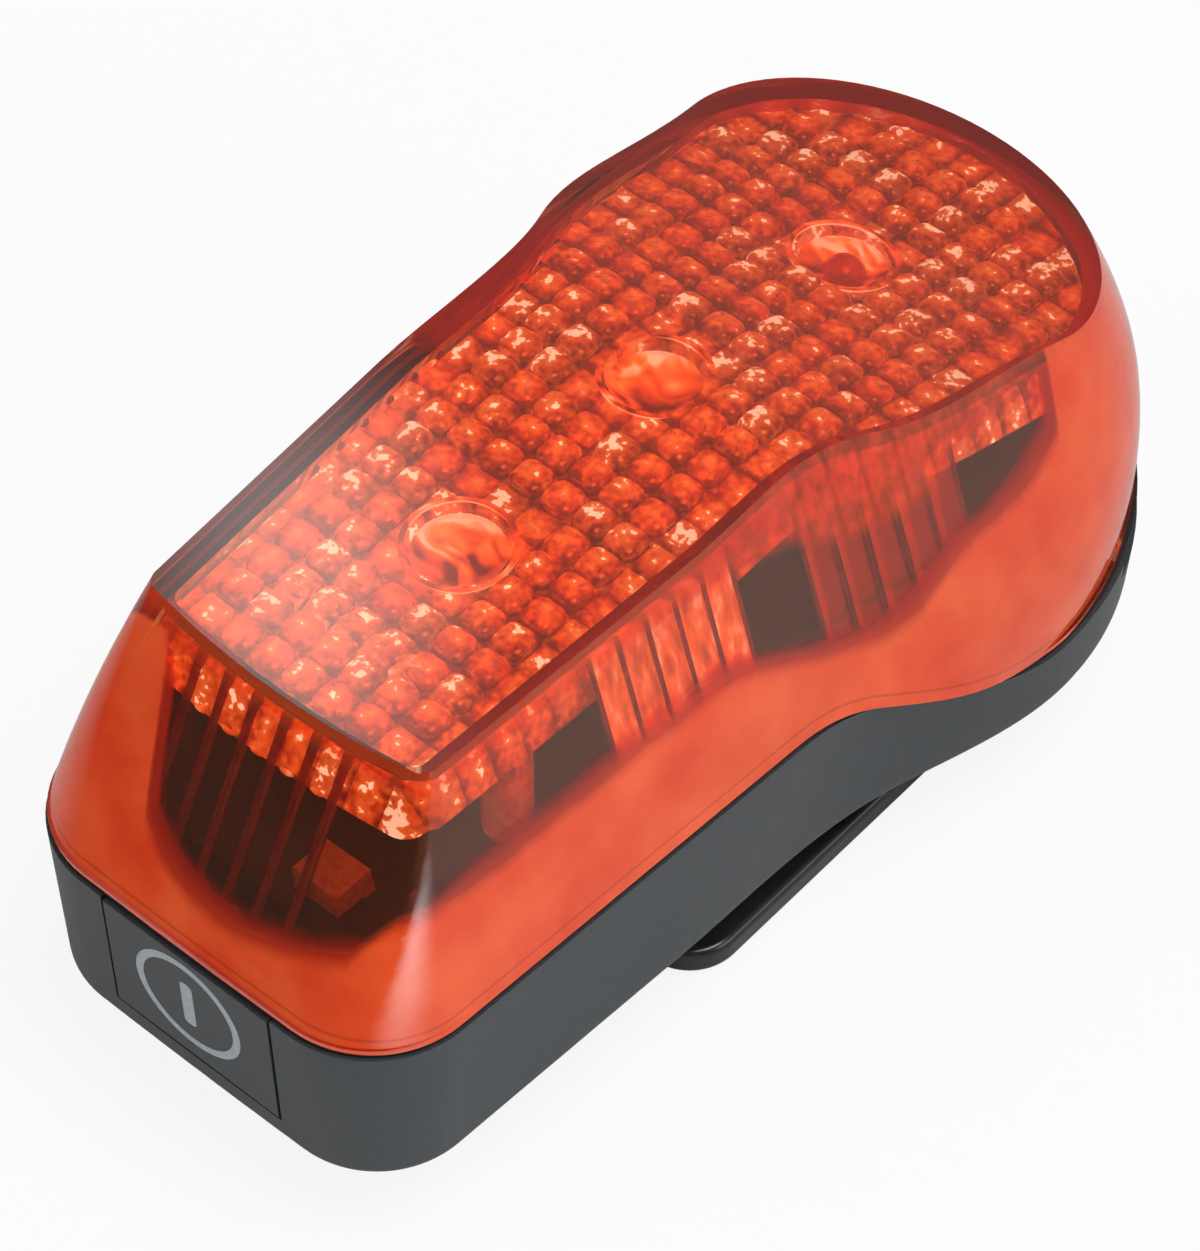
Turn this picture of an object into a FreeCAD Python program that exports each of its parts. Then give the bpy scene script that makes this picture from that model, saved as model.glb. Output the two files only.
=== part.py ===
import FreeCAD, Part
import math
import os
import re
import Sketcher
from types import SimpleNamespace
from FreeCAD import Vector

# Bicycle tail light: a dark base tray with two cells, a red lens unit that tilts off it,
# a power key in the near end and a strap clip underneath. Millimetres, +Z up. X = 0 is the
# plane of symmetry, Y runs from the key end to the wide end with 0 halfway along, and Z = 0
# is the underside of the tray, where a strap or tube lies under the clip.

SIZES = {
    # outline at the seam; the distances along the light are counted from its near end
    "seam_length": 81.2,
    "seam_half": 16.0,
    "side_taper": 0.057,
    "corner_radius": 7.5,
    "near_bow_radius": 600.0,
    "flare_start": 36.1,
    "flare_middle": 43.5,
    "flare_half": 18.45,
    "flare_ease": 1.6421,
    "wide_at": 59.1,
    "wide_half": 21.3,
    "end_fullness": 0.56,
    # seam line seen from the side: level, dipping through the flare, level again
    "seam_near": 13.2,
    "seam_far": 5.2,
    # base tray
    "base_near_draft": 0.54,
    "base_side_draft": 0.58,
    "base_end_draft": 1.4,
    "base_flare_start": 25.6,
    "base_flare_middle": 46.7,
    "base_wall": 2.2,
    "base_floor": 2.0,
    "base_edge_radius": 1.0,
    "lip_inset": 1.45,
    "lip_rise": 1.4,
    # lens: its walls lean in from the seam to the crease round the roof
    "crease_near": 30.6,
    "crease_far": 25.6,
    "crease_near_in": 8.65,
    "crease_side_in": 4.75,
    "crease_flare_in": 5.0,
    "crease_wide_in": 5.24,
    "crease_end_in": 4.8,
    "crease_corner": 1.15,
    "least_corner": 0.4,
    "inner_corner_ease": 0.3,
    "crease_bow_radius": 60.0,
    "near_bulge": 0.27,
    "far_bulge": 1.45,
    "crease_start_shift": -4.5,
    "crease_middle_shift": 4.3,
    "crease_wide_shift": 7.4,
    "lens_ledge": 0.6,
    "lens_mid_height": 22.0,
    "lens_wall": 2.0,
    "lens_roof": 2.0,
    "lens_gap": 0.45,
    # roof line seen from the side
    "roof_start": 30.45,
    "roof_knee_at": 43.0,
    "roof_knee": 31.4,
    "roof_break_at": 65.4,
    "roof_break": 25.65,
    "roof_end": 23.6,
    "roof_knee_radius": 25.0,
    # gasket
    "gasket_inset": 0.3,
    "gasket_width": 1.05,
    "gasket_thick": 0.35,
    # optic insert under the roof, its skirt, bowls and pillars
    "insert_gap": 0.35,
    "insert_plate": 1.2,
    "skirt_depth": 5.4,
    "bowl_top_radius": 3.4,
    "bowl_low_radius": 2.5,
    "bowl_wall": 0.7,
    "bowl_depth": 3.0,
    "pillar_radius": 1.6,
    "pillar_side": 9.5,
    "pillar_near": 17.5,
    "pillar_far": 66.0,
    # circuit board and what it carries
    "board_top": 18.3,
    "board_thick": 1.6,
    "board_inset": 2.5,
    "board_notch_at": 30.0,
    "board_notch_side": 12.4,
    "board_notch_radius": 1.6,
    "led_near_at": 25.0,
    "led_mid_at": 42.9,
    "led_far_at": 61.0,
    "led_radius": 1.5,
    "led_flange_radius": 1.9,
    "led_flange_thick": 1.0,
    "led_height": 5.3,
    "lead_size": 0.5,
    "lead_spread": 1.27,
    "lead_tail": 0.9,
    "lead_hole_radius": 0.42,
    "resistor_length": 3.2,
    "resistor_width": 1.6,
    "resistor_height": 0.6,
    "resistor_side": 7.0,
    "driver_length": 2.9,
    "driver_width": 1.4,
    "driver_height": 1.1,
    "driver_side": 6.0,
    "chip_length": 5.0,
    "chip_width": 3.9,
    "chip_height": 1.5,
    "chip_at": 34.0,
    "chip_leg_width": 0.42,
    "chip_leg_reach": 1.0,
    "chip_leg_pitch": 1.27,
    "chip_leg_height": 0.5,
    "capacitor_length": 3.5,
    "capacitor_width": 2.8,
    "capacitor_height": 1.9,
    "capacitor_side": 5.9,
    "capacitor_at": 7.6,
    "foam_half": 5.6,
    "foam_start": 21.0,
    "foam_length": 32.0,
    "foam_gap": 0.3,
    # screws that hold the board to the pillars
    "board_screw_radius": 1.0,
    "board_screw_grip": 4.2,
    "board_screw_head": 1.8,
    "board_screw_head_height": 1.3,
    "board_hole_radius": 1.15,
    # push switch under the near edge of the board
    "switch_start": 5.2,
    "switch_depth": 3.6,
    "switch_width": 6.0,
    "switch_height": 6.7,
    "stem_height": 12.6,
    "stem_radius": 1.2,
    "stem_reach": 0.85,
    "stem_inside": 1.0,
    "stem_bore_radius": 1.27,
    "stem_bore_depth": 1.9,
    # power key
    "key_half": 6.75,
    "key_low": 2.45,
    "key_gap": 0.22,
    "key_thick": 1.9,
    "key_flange_half": 7.9,
    "key_flange_over": 0.25,
    "key_flange_high": 10.6,
    "key_flange_start": 2.75,
    "key_flange_thick": 0.8,
    "key_post_half": 1.4,
    "pad_half": 1.1,
    "pad_thick": 0.5,
    "stem_slack": 0.05,
    "guide_gap": 0.25,
    "guide_thick": 0.9,
    "guide_length": 3.2,
    "guide_height": 9.5,
    # cells and contacts
    "cell_radius": 5.25,
    "cell_body": 43.7,
    "cell_nub": 0.8,
    "cell_nub_radius": 1.9,
    "cell_side": 5.6,
    "cell_gap": 0.15,
    "contact_start": 10.9,
    "contact_thick": 0.4,
    "contact_half": 4.0,
    "contact_low": 2.4,
    "contact_high": 11.8,
    "contact_play": 0.05,
    "contact_wall": 1.2,
    "contact_wall_height": 11.0,
    "spring_length": 4.7,
    "spring_radius": 3.0,
    "spring_wire": 0.3,
    "spring_turns": 3.5,
    "finger_half": 1.2,
    "finger_gap": 0.15,
    "cradle_side": 11.1,
    "cradle_thick": 1.0,
    "cradle_start": 19.0,
    "cradle_length": 38.0,
    "cradle_height": 7.4,
    # lens tabs at the near end, catch at the wide end, and the slot for a coin
    "tab_side": 10.2,
    "tab_half": 0.9,
    "tab_thick": 1.1,
    "tab_drop": 2.6,
    "tab_root": 3.5,
    "tab_start": 3.4,
    "catch_half": 3.5,
    "catch_thick": 1.2,
    "catch_drop": 2.4,
    "catch_root": 8.0,
    "catch_barb": 0.25,
    "catch_barb_height": 0.9,
    "coin_slot_start": 66.8,
    "coin_slot_height": 1.5,
    "coin_slot_depth": 1.1,
    # strap clip under the base
    "clip_gap": 5.0,
    "clip_thick": 2.2,
    "clip_half": 15.6,
    "clip_end": 70.5,
    "clip_length": 41.2,
    "clip_corner": 3.8,
    "clip_edge": 0.6,
    "clip_ridge_height": 0.6,
    "clip_ridge_at": 4.0,
    "clip_split_gap": 0.05,
    "foot_half": 12.0,
    "foot_length": 7.0,
    "foot_recess": 0.4,
    "clip_screw_side": 7.0,
    "clip_screw_radius": 1.25,
    "clip_screw_length": 9.6,
    "clip_screw_head": 2.4,
    "clip_screw_head_height": 1.6,
    "clip_screw_slack": 0.15,
    "clip_screw_sink": 0.4,
    "boss_radius": 2.9,
    "boss_height": 6.4,
    "running_gap": 0.2,
    "screw_fit": 0.04,
}

doc = FreeCAD.newDocument("tail_light")
sheet = doc.addObject("Spreadsheet::Sheet", "Sizes")
for row, (name, number) in enumerate(SIZES.items(), 1):
    sheet.set(f"A{row}", name)
    sheet.set(f"B{row}", str(number))
    sheet.setAlias(f"B{row}", name)
doc.recompute()
size = SimpleNamespace(**{name: float(sheet.get(name)) for name in SIZES})
size.near_end = -size.seam_length / 2


def formula(text):
    """The text with each size's name pointing at its cell."""
    def cell(match):
        word = match.group()
        return "Sizes." + word if word in SIZES else word
    return re.sub(r"[a-z]\w*", cell, text)


def bind(thing, **formulas):
    for prop, text in formulas.items():
        thing.setExpression(prop, formula(text))


def from_near(text):
    """The Y of a distance that is counted from the near end."""
    return f"{text} - seam_length / 2"


def place(thing, x, y, z):
    """Put a piece at x, y, z, with y counted from the near end."""
    thing.setExpression("Placement.Base.x", formula(x))
    thing.setExpression("Placement.Base.y", formula(from_near(y)))
    thing.setExpression("Placement.Base.z", formula(z))
    return thing


def box(name, spans, x, y, z):
    """A block from its lowest corner; spans are its length, width and height."""
    thing = doc.addObject("Part::Box", name)
    bind(thing, Length=spans[0], Width=spans[1], Height=spans[2])
    return place(thing, x, y, z)


def turned(thing, along_y):
    """Lay a round piece along +Y instead of +Z."""
    if along_y:
        thing.Placement.Rotation = FreeCAD.Rotation(Vector(1, 0, 0), -90)
    return thing


def cylinder(name, radius, height, x, y, z, along_y=False):
    thing = turned(doc.addObject("Part::Cylinder", name), along_y)
    bind(thing, Radius=radius, Height=height)
    return place(thing, x, y, z)


def cone(name, low_radius, high_radius, height, x, y, z):
    thing = doc.addObject("Part::Cone", name)
    bind(thing, Radius1=low_radius, Radius2=high_radius, Height=height)
    return place(thing, x, y, z)


def sphere(name, radius, x, y, z):
    thing = doc.addObject("Part::Sphere", name)
    bind(thing, Radius=radius)
    return place(thing, x, y, z)


def fuse(name, things):
    joined = doc.addObject("Part::MultiFuse", name)
    joined.Shapes = things
    return joined


def cut(name, base, tool):
    result = doc.addObject("Part::Cut", name)
    result.Base = base
    result.Tool = tool
    return result


def group(name, things):
    compound = doc.addObject("Part::Compound", name)
    compound.Links = things
    return compound


def feature(name, shape):
    thing = doc.addObject("Part::Feature", name)
    thing.Shape = shape
    return thing


pieces = {}


def piece(name, thing):
    """Give a finished sub-part the name of its file."""
    thing.Label = name
    pieces[name] = thing
    return thing


# Sketched bodies

def new_body(name):
    return doc.addObject("PartDesign::Body", name)


def sketch_on(body, name, role, height):
    plane = next(item for item in body.Origin.OriginFeatures if item.Role == role)
    sketch = body.newObject("Sketcher::SketchObject", name)
    sketch.AttachmentSupport = [(plane, "")]
    sketch.MapMode = "FlatFace"
    sketch.setExpression("AttachmentOffset.Base.z", formula(height))
    return sketch


def polygon(sketch, corners):
    """A closed outline whose corners are pairs of formulas, each held from the origin."""
    count = len(corners)
    start = [Vector(10 * math.cos(2 * math.pi * turn / count), 10 * math.sin(2 * math.pi * turn / count), 0)
             for turn in range(count)]
    for turn in range(count):
        sketch.addGeometry(Part.LineSegment(start[turn], start[(turn + 1) % count]), False)
    for turn in range(count):
        sketch.addConstraint(Sketcher.Constraint("Coincident", turn, 2, (turn + 1) % count, 1))
    for turn, corner in enumerate(corners):
        for kind, text in zip(("DistanceX", "DistanceY"), corner):
            here = start[turn].x if kind == "DistanceX" else start[turn].y
            index = sketch.addConstraint(Sketcher.Constraint(kind, -1, 1, turn, 1, here))
            sketch.setExpression(f"Constraints[{index}]", formula(text))
    return sketch


def rectangle(sketch, low, high):
    corners = [(low[0], low[1]), (high[0], low[1]), (high[0], high[1]), (low[0], high[1])]
    return polygon(sketch, corners)


def pad(body, name, sketch, length):
    feature_pad = body.newObject("PartDesign::Pad", name)
    feature_pad.Profile = sketch
    bind(feature_pad, Length=length)
    return feature_pad


def pocket(body, name, sketch, length):
    feature_pocket = body.newObject("PartDesign::Pocket", name)
    feature_pocket.Profile = sketch
    bind(feature_pocket, Length=length)
    return feature_pocket


# The light's form: outlines at one height, lofted, then cut by the seam and the roof

def half_outline(near_y, half, corner, bow_radius, flare, middle, wide, end_y):
    """The edges of the +X half, from the near arc's middle to the middle of the wide end.

    flare is where the side starts to flare; middle and wide are points (half width, y).
    """
    lean = math.atan(size.side_taper)
    centre_x = half - corner / math.cos(lean)
    rise = math.sqrt((bow_radius - corner) ** 2 - centre_x ** 2)
    bow_centre = Vector(0, near_y + bow_radius, 0)
    centre = Vector(centre_x, bow_centre.y - rise, 0)
    away = (centre - bow_centre).normalize()
    corner_start = centre + away * corner
    side = Vector(math.cos(lean), -math.sin(lean), 0)
    corner_end = centre + side * corner
    corner_mid = centre + (away + side).normalize() * corner
    flare_point = Vector(corner_end.x + size.side_taper * (flare - corner_end.y), flare, 0)
    middle = Vector(*middle, 0)
    wide = Vector(*wide, 0)
    first = (middle.y - flare) / 3
    second = (wide.y - middle.y) / 3
    mean_slope = (size.wide_half - size.flare_half) / (size.wide_at - size.flare_middle)
    flare_way = Vector(size.flare_ease * mean_slope, 1, 0)
    fullness = size.end_fullness
    curves = [
        [flare_point, flare_point + Vector(size.side_taper, 1, 0) * first,
         middle - flare_way * first, middle],
        [middle, middle + flare_way * second, wide - Vector(0, second, 0), wide],
        [wide, wide + Vector(0, fullness * (end_y - wide.y), 0),
         Vector(fullness * wide.x, end_y, 0), Vector(0, end_y, 0)],
    ]
    return corner_start, corner_mid, corner_end, flare_point, curves


def outline(height, **places):
    """A closed outline at one height, the same on both sides of X = 0."""
    corner_start, corner_mid, corner_end, flare_point, curves = half_outline(**places)

    def flip(point):
        return Vector(-point.x, point.y, point.z)

    def curve(points):
        bezier = Part.BezierCurve()
        bezier.setPoles(points)
        return bezier.toShape()

    near_middle = Vector(0, places["near_y"], 0)
    edges = [
        Part.Arc(flip(corner_start), near_middle, corner_start).toShape(),
        Part.Arc(corner_start, corner_mid, corner_end).toShape(),
        Part.LineSegment(corner_end, flare_point).toShape(),
    ]
    edges += [curve(points) for points in curves]
    edges += [curve([flip(point) for point in reversed(points)]) for points in reversed(curves)]
    edges.append(Part.LineSegment(flip(flare_point), flip(corner_end)).toShape())
    edges.append(Part.Arc(flip(corner_end), flip(corner_mid), flip(corner_start)).toShape())
    wire = Part.Wire(edges)
    wire.translate(Vector(0, 0, height))
    return wire


def base_outline(height, inset):
    """The tray's outline: drafted near end and sides, and a flare that tightens going up."""
    up = height / size.seam_near
    draft = 1 - up
    flare = size.base_flare_start + (size.flare_start - size.base_flare_start) * up
    middle = size.base_flare_middle + (size.flare_middle - size.base_flare_middle) * up
    end_in = size.base_end_draft * (1 - height / size.seam_far)
    return outline(
        height,
        near_y=size.near_end + size.base_near_draft * draft + inset,
        half=size.seam_half - size.base_side_draft * draft - inset,
        corner=size.corner_radius - size.base_near_draft * draft - inset,
        bow_radius=size.near_bow_radius,
        flare=size.near_end + flare,
        middle=(size.flare_half - inset, size.near_end + middle),
        wide=(size.wide_half - inset, size.near_end + size.wide_at),
        end_y=size.near_end + size.seam_length - end_in - inset)


def lens_outline(height, inset):
    """The lens's outline: every wall leans in towards the crease and swells a little."""
    near_up = (height - size.seam_near) / (size.crease_near - size.seam_near)
    far_up = (height - size.seam_far) / (size.crease_far - size.seam_far)
    near_swell = size.near_bulge * 4 * near_up * (1 - near_up)
    far_swell = size.far_bulge * 4 * far_up * (1 - far_up)
    corner = size.corner_radius + (size.crease_corner - size.corner_radius) * near_up
    bend = 1 / size.near_bow_radius
    bend += (1 / size.crease_bow_radius - bend) * max(near_up, 0)
    flare = size.flare_start + size.crease_start_shift * near_up
    middle = size.flare_middle + size.crease_middle_shift * near_up
    wide = size.wide_at + size.crease_wide_shift * near_up
    return outline(
        height,
        near_y=size.near_end + size.crease_near_in * near_up - near_swell + inset,
        half=size.seam_half - size.crease_side_in * near_up + near_swell - inset,
        corner=max(corner - inset, size.least_corner + size.inner_corner_ease * inset),
        bow_radius=1 / bend,
        flare=size.near_end + flare,
        middle=(size.flare_half - size.crease_flare_in * near_up + near_swell - inset,
                size.near_end + middle),
        wide=(size.wide_half - size.lens_ledge - size.crease_wide_in * far_up + far_swell - inset,
              size.near_end + wide),
        end_y=(size.near_end + size.seam_length - size.lens_ledge - size.crease_end_in * far_up
               + far_swell - inset))


def loft(outline_at, heights, inset):
    return Part.makeLoft([outline_at(height, inset) for height in heights], True, len(heights) < 3)


def base_form(inset, low=0.0):
    return loft(base_outline, (low, size.seam_near + size.lip_rise + 1), inset)


def lens_form(inset):
    heights = (size.seam_far - 1.5, size.seam_near, size.lens_mid_height, size.roof_knee + 0.6)
    return loft(lens_outline, heights, inset)


SIDE_REACH = 60.0


def side_block(edges):
    """A solid across the whole width from a profile of points (0, y, z)."""
    face = Part.Face(Part.Wire(edges))
    face.translate(Vector(-SIDE_REACH, 0, 0))
    return face.extrude(Vector(2 * SIDE_REACH, 0, 0))


def line(start, end):
    return Part.LineSegment(start, end).toShape()


def below_seam(lift=0.0):
    """Everything under the seam line, moved up by lift."""
    near, far = size.near_end - 20, size.near_end + size.seam_length + 20
    high, low = size.seam_near + lift, size.seam_far + lift
    start = size.near_end + size.flare_start
    third = (size.wide_at - size.flare_start) / 3
    bend = Part.BezierCurve()
    bend.setPoles([Vector(0, start, high), Vector(0, start + third, high),
                   Vector(0, start + 2 * third, low), Vector(0, start + 3 * third, low)])
    points = [Vector(0, start + 3 * third, low), Vector(0, far, low), Vector(0, far, -20),
              Vector(0, near, -20), Vector(0, near, high), Vector(0, start, high)]
    edges = [bend.toShape()] + [line(*pair) for pair in zip(points, points[1:])]
    return side_block(edges)


def knee(before, corner, after, radius):
    """The arc that rounds the corner of a side profile, as its three points."""
    back = (before - corner).normalize()
    ahead = (after - corner).normalize()
    turn = math.pi - back.getAngle(ahead)
    reach = radius * math.tan(turn / 2)
    centre = corner + (back + ahead).normalize() * (radius / math.cos(turn / 2))
    middle = centre + (corner - centre).normalize() * radius
    return corner + back * reach, middle, corner + ahead * reach


def below_roof(lift=0.0):
    """Everything under the roof line, moved up by lift."""
    top = Vector(0, size.near_end, lift)
    start = top + Vector(0, -20, size.roof_start)
    high = top + Vector(0, size.roof_knee_at, size.roof_knee)
    low = top + Vector(0, size.roof_break_at, size.roof_break)
    slope = (size.roof_end - size.roof_break) / (size.seam_length - size.roof_break_at)
    beyond = low + Vector(0, 40, 40 * slope)
    first = knee(start, high, low, size.roof_knee_radius)
    second = knee(high, low, beyond, size.roof_knee_radius)
    floor = [Vector(0, beyond.y, -20), Vector(0, start.y, -20)]
    edges = [
        line(start, first[0]),
        Part.Arc(*first).toShape(),
        line(first[2], second[0]),
        Part.Arc(*second).toShape(),
        line(second[2], beyond),
        line(beyond, floor[0]),
        line(floor[0], floor[1]),
        line(floor[1], start),
    ]
    return side_block(edges)


def bottom_edges(shape, height):
    return [edge for edge in shape.Edges
            if abs(edge.BoundBox.ZMin - height) < 1e-4 and abs(edge.BoundBox.ZMax - height) < 1e-4]


# Base tray

def make_base():
    outer = base_form(0).common(below_seam())
    outer = outer.makeFillet(size.base_edge_radius, bottom_edges(outer, 0))
    hollow = base_form(size.base_wall, size.base_floor)
    lip = base_form(size.lip_inset).cut(base_form(size.base_wall))
    lip = lip.common(below_seam(size.lip_rise).cut(below_seam(-1)))
    rim = base_form(-1).cut(base_form(size.coin_slot_depth))
    slot = rim.cut(below_seam(-size.coin_slot_height)).common(below_seam())
    slot = slot.common(Part.makeBox(2 * SIDE_REACH, SIDE_REACH, SIDE_REACH,
                                    Vector(-SIDE_REACH, size.near_end + size.coin_slot_start, 0)))
    walls = feature("tray_walls", outer.cut(hollow).fuse(lip).cut(slot).removeSplitter())
    root = "base_floor - running_gap"
    ribs = [
        box("near_contact_wall", ("2 * cradle_side", "contact_wall", "contact_wall_height"), "-cradle_side",
            "contact_start - contact_play - contact_wall", root),
        box("far_contact_wall", ("2 * cradle_side", "contact_wall", "contact_wall_height"), "-cradle_side",
            f"{bridge_start} + contact_thick + contact_play", root),
    ]
    for side, sign in SIDES:
        inner = {"left": "-cradle_side - cradle_thick", "right": "cradle_side"}[side]
        ribs.append(box(f"cradle_{side}", ("cradle_thick", "cradle_length", "cradle_height"),
                        inner, "cradle_start", root))
        guide = {"left": "-key_flange_half - guide_gap - guide_thick",
                 "right": "key_flange_half + guide_gap"}[side]
        ribs.append(box(f"guide_{side}", ("guide_thick", "guide_length", "guide_height"),
                        guide, "base_wall - running_gap", root))
        ribs.append(cylinder(f"boss_{side}", "boss_radius", "boss_height",
                             f"{sign}clip_screw_side", clip_screw_at, root))
    tray = fuse("tray", [walls] + ribs)
    window = f"{catch_face} - running_gap"
    openings = [
        box("key_opening", ("2 * (key_half + key_gap)", "base_wall + 2", "seam_near"),
            "-key_half - key_gap", "-1", "key_low - key_gap"),
        box("catch_window", ("2 * (catch_half + running_gap)", "2 * running_gap + catch_barb",
                             "catch_barb_height + 2 * running_gap"),
            "-catch_half - running_gap", window, "seam_far - catch_drop - running_gap"),
        box("foot_recess", ("2 * wide_half", "foot_length + 2 * running_gap", "foot_recess + 1"),
            "-wide_half", "clip_end - foot_length - running_gap", "-1"),
    ]
    for side, sign in SIDES:
        openings.append(cylinder(f"clip_screw_hole_{side}", "clip_screw_radius + screw_fit",
                                 "clip_screw_length", f"{sign}clip_screw_side", clip_screw_at,
                                 "boss_height - clip_screw_length"))
    return piece("base_shell", cut("base_shell", tray, fuse("tray_openings", openings)))


SIDES = (("left", "-"), ("right", ""))
clip_screw_at = "clip_end - foot_length / 2"
plate_face = "contact_start + contact_thick"
bridge_start = f"{plate_face} + spring_length + cell_body + cell_nub + contact_play"
catch_face = "seam_length - base_wall - base_end_draft * catch_drop / seam_far - running_gap"


def make_gasket():
    outer = base_form(size.gasket_inset)
    inner = base_form(size.gasket_inset + size.gasket_width)
    band = below_seam(size.gasket_thick).cut(below_seam())
    return piece("seam_gasket", feature("seam_gasket", outer.cut(inner).common(band)))


# Lens unit

def make_lens():
    shell = lens_form(0).common(below_roof()).cut(below_seam(size.lens_gap))
    hollow = lens_form(size.lens_wall).common(below_roof(-size.lens_roof))
    rebate = base_form(size.lip_inset - size.running_gap).cut(base_form(size.base_wall + 3))
    rebate = rebate.common(below_seam(size.lip_rise + size.running_gap))
    walls = feature("lens_walls", shell.cut(hollow).cut(rebate).removeSplitter())
    back = f"{catch_face} - catch_thick"
    tabs = [box("catch", ("2 * catch_half", "catch_thick", "catch_drop + catch_root"),
                "-catch_half", back, "seam_far - catch_drop"),
            box("catch_barb", ("2 * catch_half", "catch_thick + catch_barb", "catch_barb_height"),
                "-catch_half", back, "seam_far - catch_drop")]
    for side, sign in SIDES:
        tabs.append(box(f"tab_{side}", ("2 * tab_half", "tab_thick", "tab_drop + tab_root"),
                        f"{sign}tab_side - tab_half", "tab_start", "seam_near - tab_drop"))
    return piece("lens_cover", fuse("lens_cover", [walls] + tabs))


def make_insert():
    gap = size.lens_wall + size.insert_gap
    top = size.lens_roof + size.insert_gap
    inside = lens_form(gap).common(below_roof(-top))
    skirt_hollow = lens_form(gap + size.insert_plate).common(below_roof(-top - size.insert_plate))
    tray = feature("insert_tray", inside.cut(below_roof(-size.skirt_depth)).cut(skirt_hollow))
    limit = feature("insert_limit", inside)
    under_plate = " - lens_roof - insert_gap - insert_plate"
    fall = "(roof_knee - roof_break) / (roof_break_at - roof_knee_at)"
    roof_over = {"led_near": "roof_start", "led_mid": f"roof_knee - {fall} * bowl_low_radius",
                 "led_far": f"roof_knee - {fall} * (led_far_at - roof_knee_at)"}
    solids, holes = [tray], []
    for led, roof in roof_over.items():
        low = f"{roof}{under_plate} - bowl_depth"
        solids.append(cone(f"{led}_bowl", "bowl_low_radius + bowl_wall", "bowl_top_radius + bowl_wall",
                           "bowl_depth + 2 * insert_plate", "0", f"{led}_at", low))
        holes.append(cone(f"{led}_bowl_hole", "bowl_low_radius", "bowl_top_radius",
                          "bowl_depth + 3 * insert_plate", "0", f"{led}_at", low))
    for row, roof in (("pillar_near", "roof_start"), ("pillar_far", "roof_break")):
        for side, sign in SIDES:
            solids.append(cylinder(f"{row}_{side}", "pillar_radius",
                                   f"{roof}{under_plate} + insert_plate / 2 - board_top",
                                   f"{sign}pillar_side", row, "board_top"))
            holes.append(cylinder(f"{row}_hole_{side}", "board_screw_radius + screw_fit",
                                  "board_screw_grip", f"{sign}pillar_side", row, "board_top"))
    trimmed = doc.addObject("Part::Common", "insert_trimmed")
    trimmed.Base = fuse("insert_solids", solids)
    trimmed.Tool = limit
    return piece("optic_insert", cut("optic_insert", trimmed, fuse("insert_holes", holes)))


LEDS = ("led_near", "led_mid", "led_far")


def make_board():
    blank = Part.Face(lens_outline(size.board_top, size.board_inset))
    slab = feature("board_blank", blank.extrude(Vector(0, 0, -size.board_thick)))
    depth = "board_thick + 2"
    low = "board_top - board_thick - 1"
    holes = []
    for side, sign in SIDES:
        for led in LEDS:
            holes.append(cylinder(f"{led}_lead_hole_{side}", "lead_hole_radius", depth,
                                  f"{sign}lead_spread", f"{led}_at", low))
        for row in ("pillar_near", "pillar_far"):
            holes.append(cylinder(f"board_{row}_{side}", "board_hole_radius", depth,
                                  f"{sign}pillar_side", row, low))
        holes.append(cylinder(f"board_notch_{side}", "board_notch_radius", depth,
                              f"{sign}board_notch_side", "board_notch_at", low))
    return piece("circuit_board", cut("circuit_board", slab, fuse("board_holes", holes)))


def make_leds():
    leads = []
    for led in LEDS:
        at = f"{led}_at"
        straight = "led_height - led_radius"
        piece(led, fuse(led, [
            cylinder(f"{led}_flange", "led_flange_radius", "led_flange_thick", "0", at, "board_top"),
            cylinder(f"{led}_barrel", "led_radius", straight, "0", at, "board_top"),
            sphere(f"{led}_dome", "led_radius", "0", at, "board_top + " + straight)]))
        for side, sign in SIDES:
            leads.append(box(f"{led}_lead_{side}", ("lead_size", "lead_size", "board_thick + lead_tail"),
                             f"{sign}lead_spread - lead_size / 2", f"{at} - lead_size / 2",
                             "board_top - board_thick - lead_tail"))
    piece("led_leads", group("led_leads", leads))


def make_board_parts():
    resistors, drivers = [], []
    for led in LEDS:
        resistors.append(box(f"{led}_resistor", ("resistor_width", "resistor_length", "resistor_height"),
                             "-resistor_side", f"{led}_at - resistor_length / 2", "board_top"))
        drivers.append(box(f"{led}_driver", ("driver_width", "driver_length", "driver_height"),
                           "driver_side", f"{led}_at - driver_length / 2", "board_top"))
    piece("led_resistors", group("led_resistors", resistors))
    piece("led_drivers", group("led_drivers", drivers))
    piece("controller_chip", box("controller_chip", ("chip_width", "chip_length", "chip_height"),
                                 "-chip_width / 2", "chip_at - chip_length / 2", "board_top"))
    legs = []
    for side, start in (("left", "-chip_width / 2 - chip_leg_reach"), ("right", "chip_width / 2")):
        for number in range(CHIP_LEGS_PER_SIDE):
            from_middle = number - (CHIP_LEGS_PER_SIDE - 1) / 2
            legs.append(box(f"chip_leg_{side}_{number}",
                            ("chip_leg_reach", "chip_leg_width", "chip_leg_height"), start,
                            f"chip_at + chip_leg_pitch * {from_middle} - chip_leg_width / 2",
                            "board_top"))
    piece("chip_legs", group("chip_legs", legs))
    piece("storage_capacitor", box("storage_capacitor",
                                   ("capacitor_length", "capacitor_width", "capacitor_height"),
                                   "capacitor_side - capacitor_length / 2",
                                   "capacitor_at - capacitor_width / 2", "board_top"))


CHIP_LEGS_PER_SIDE = 4


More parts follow.
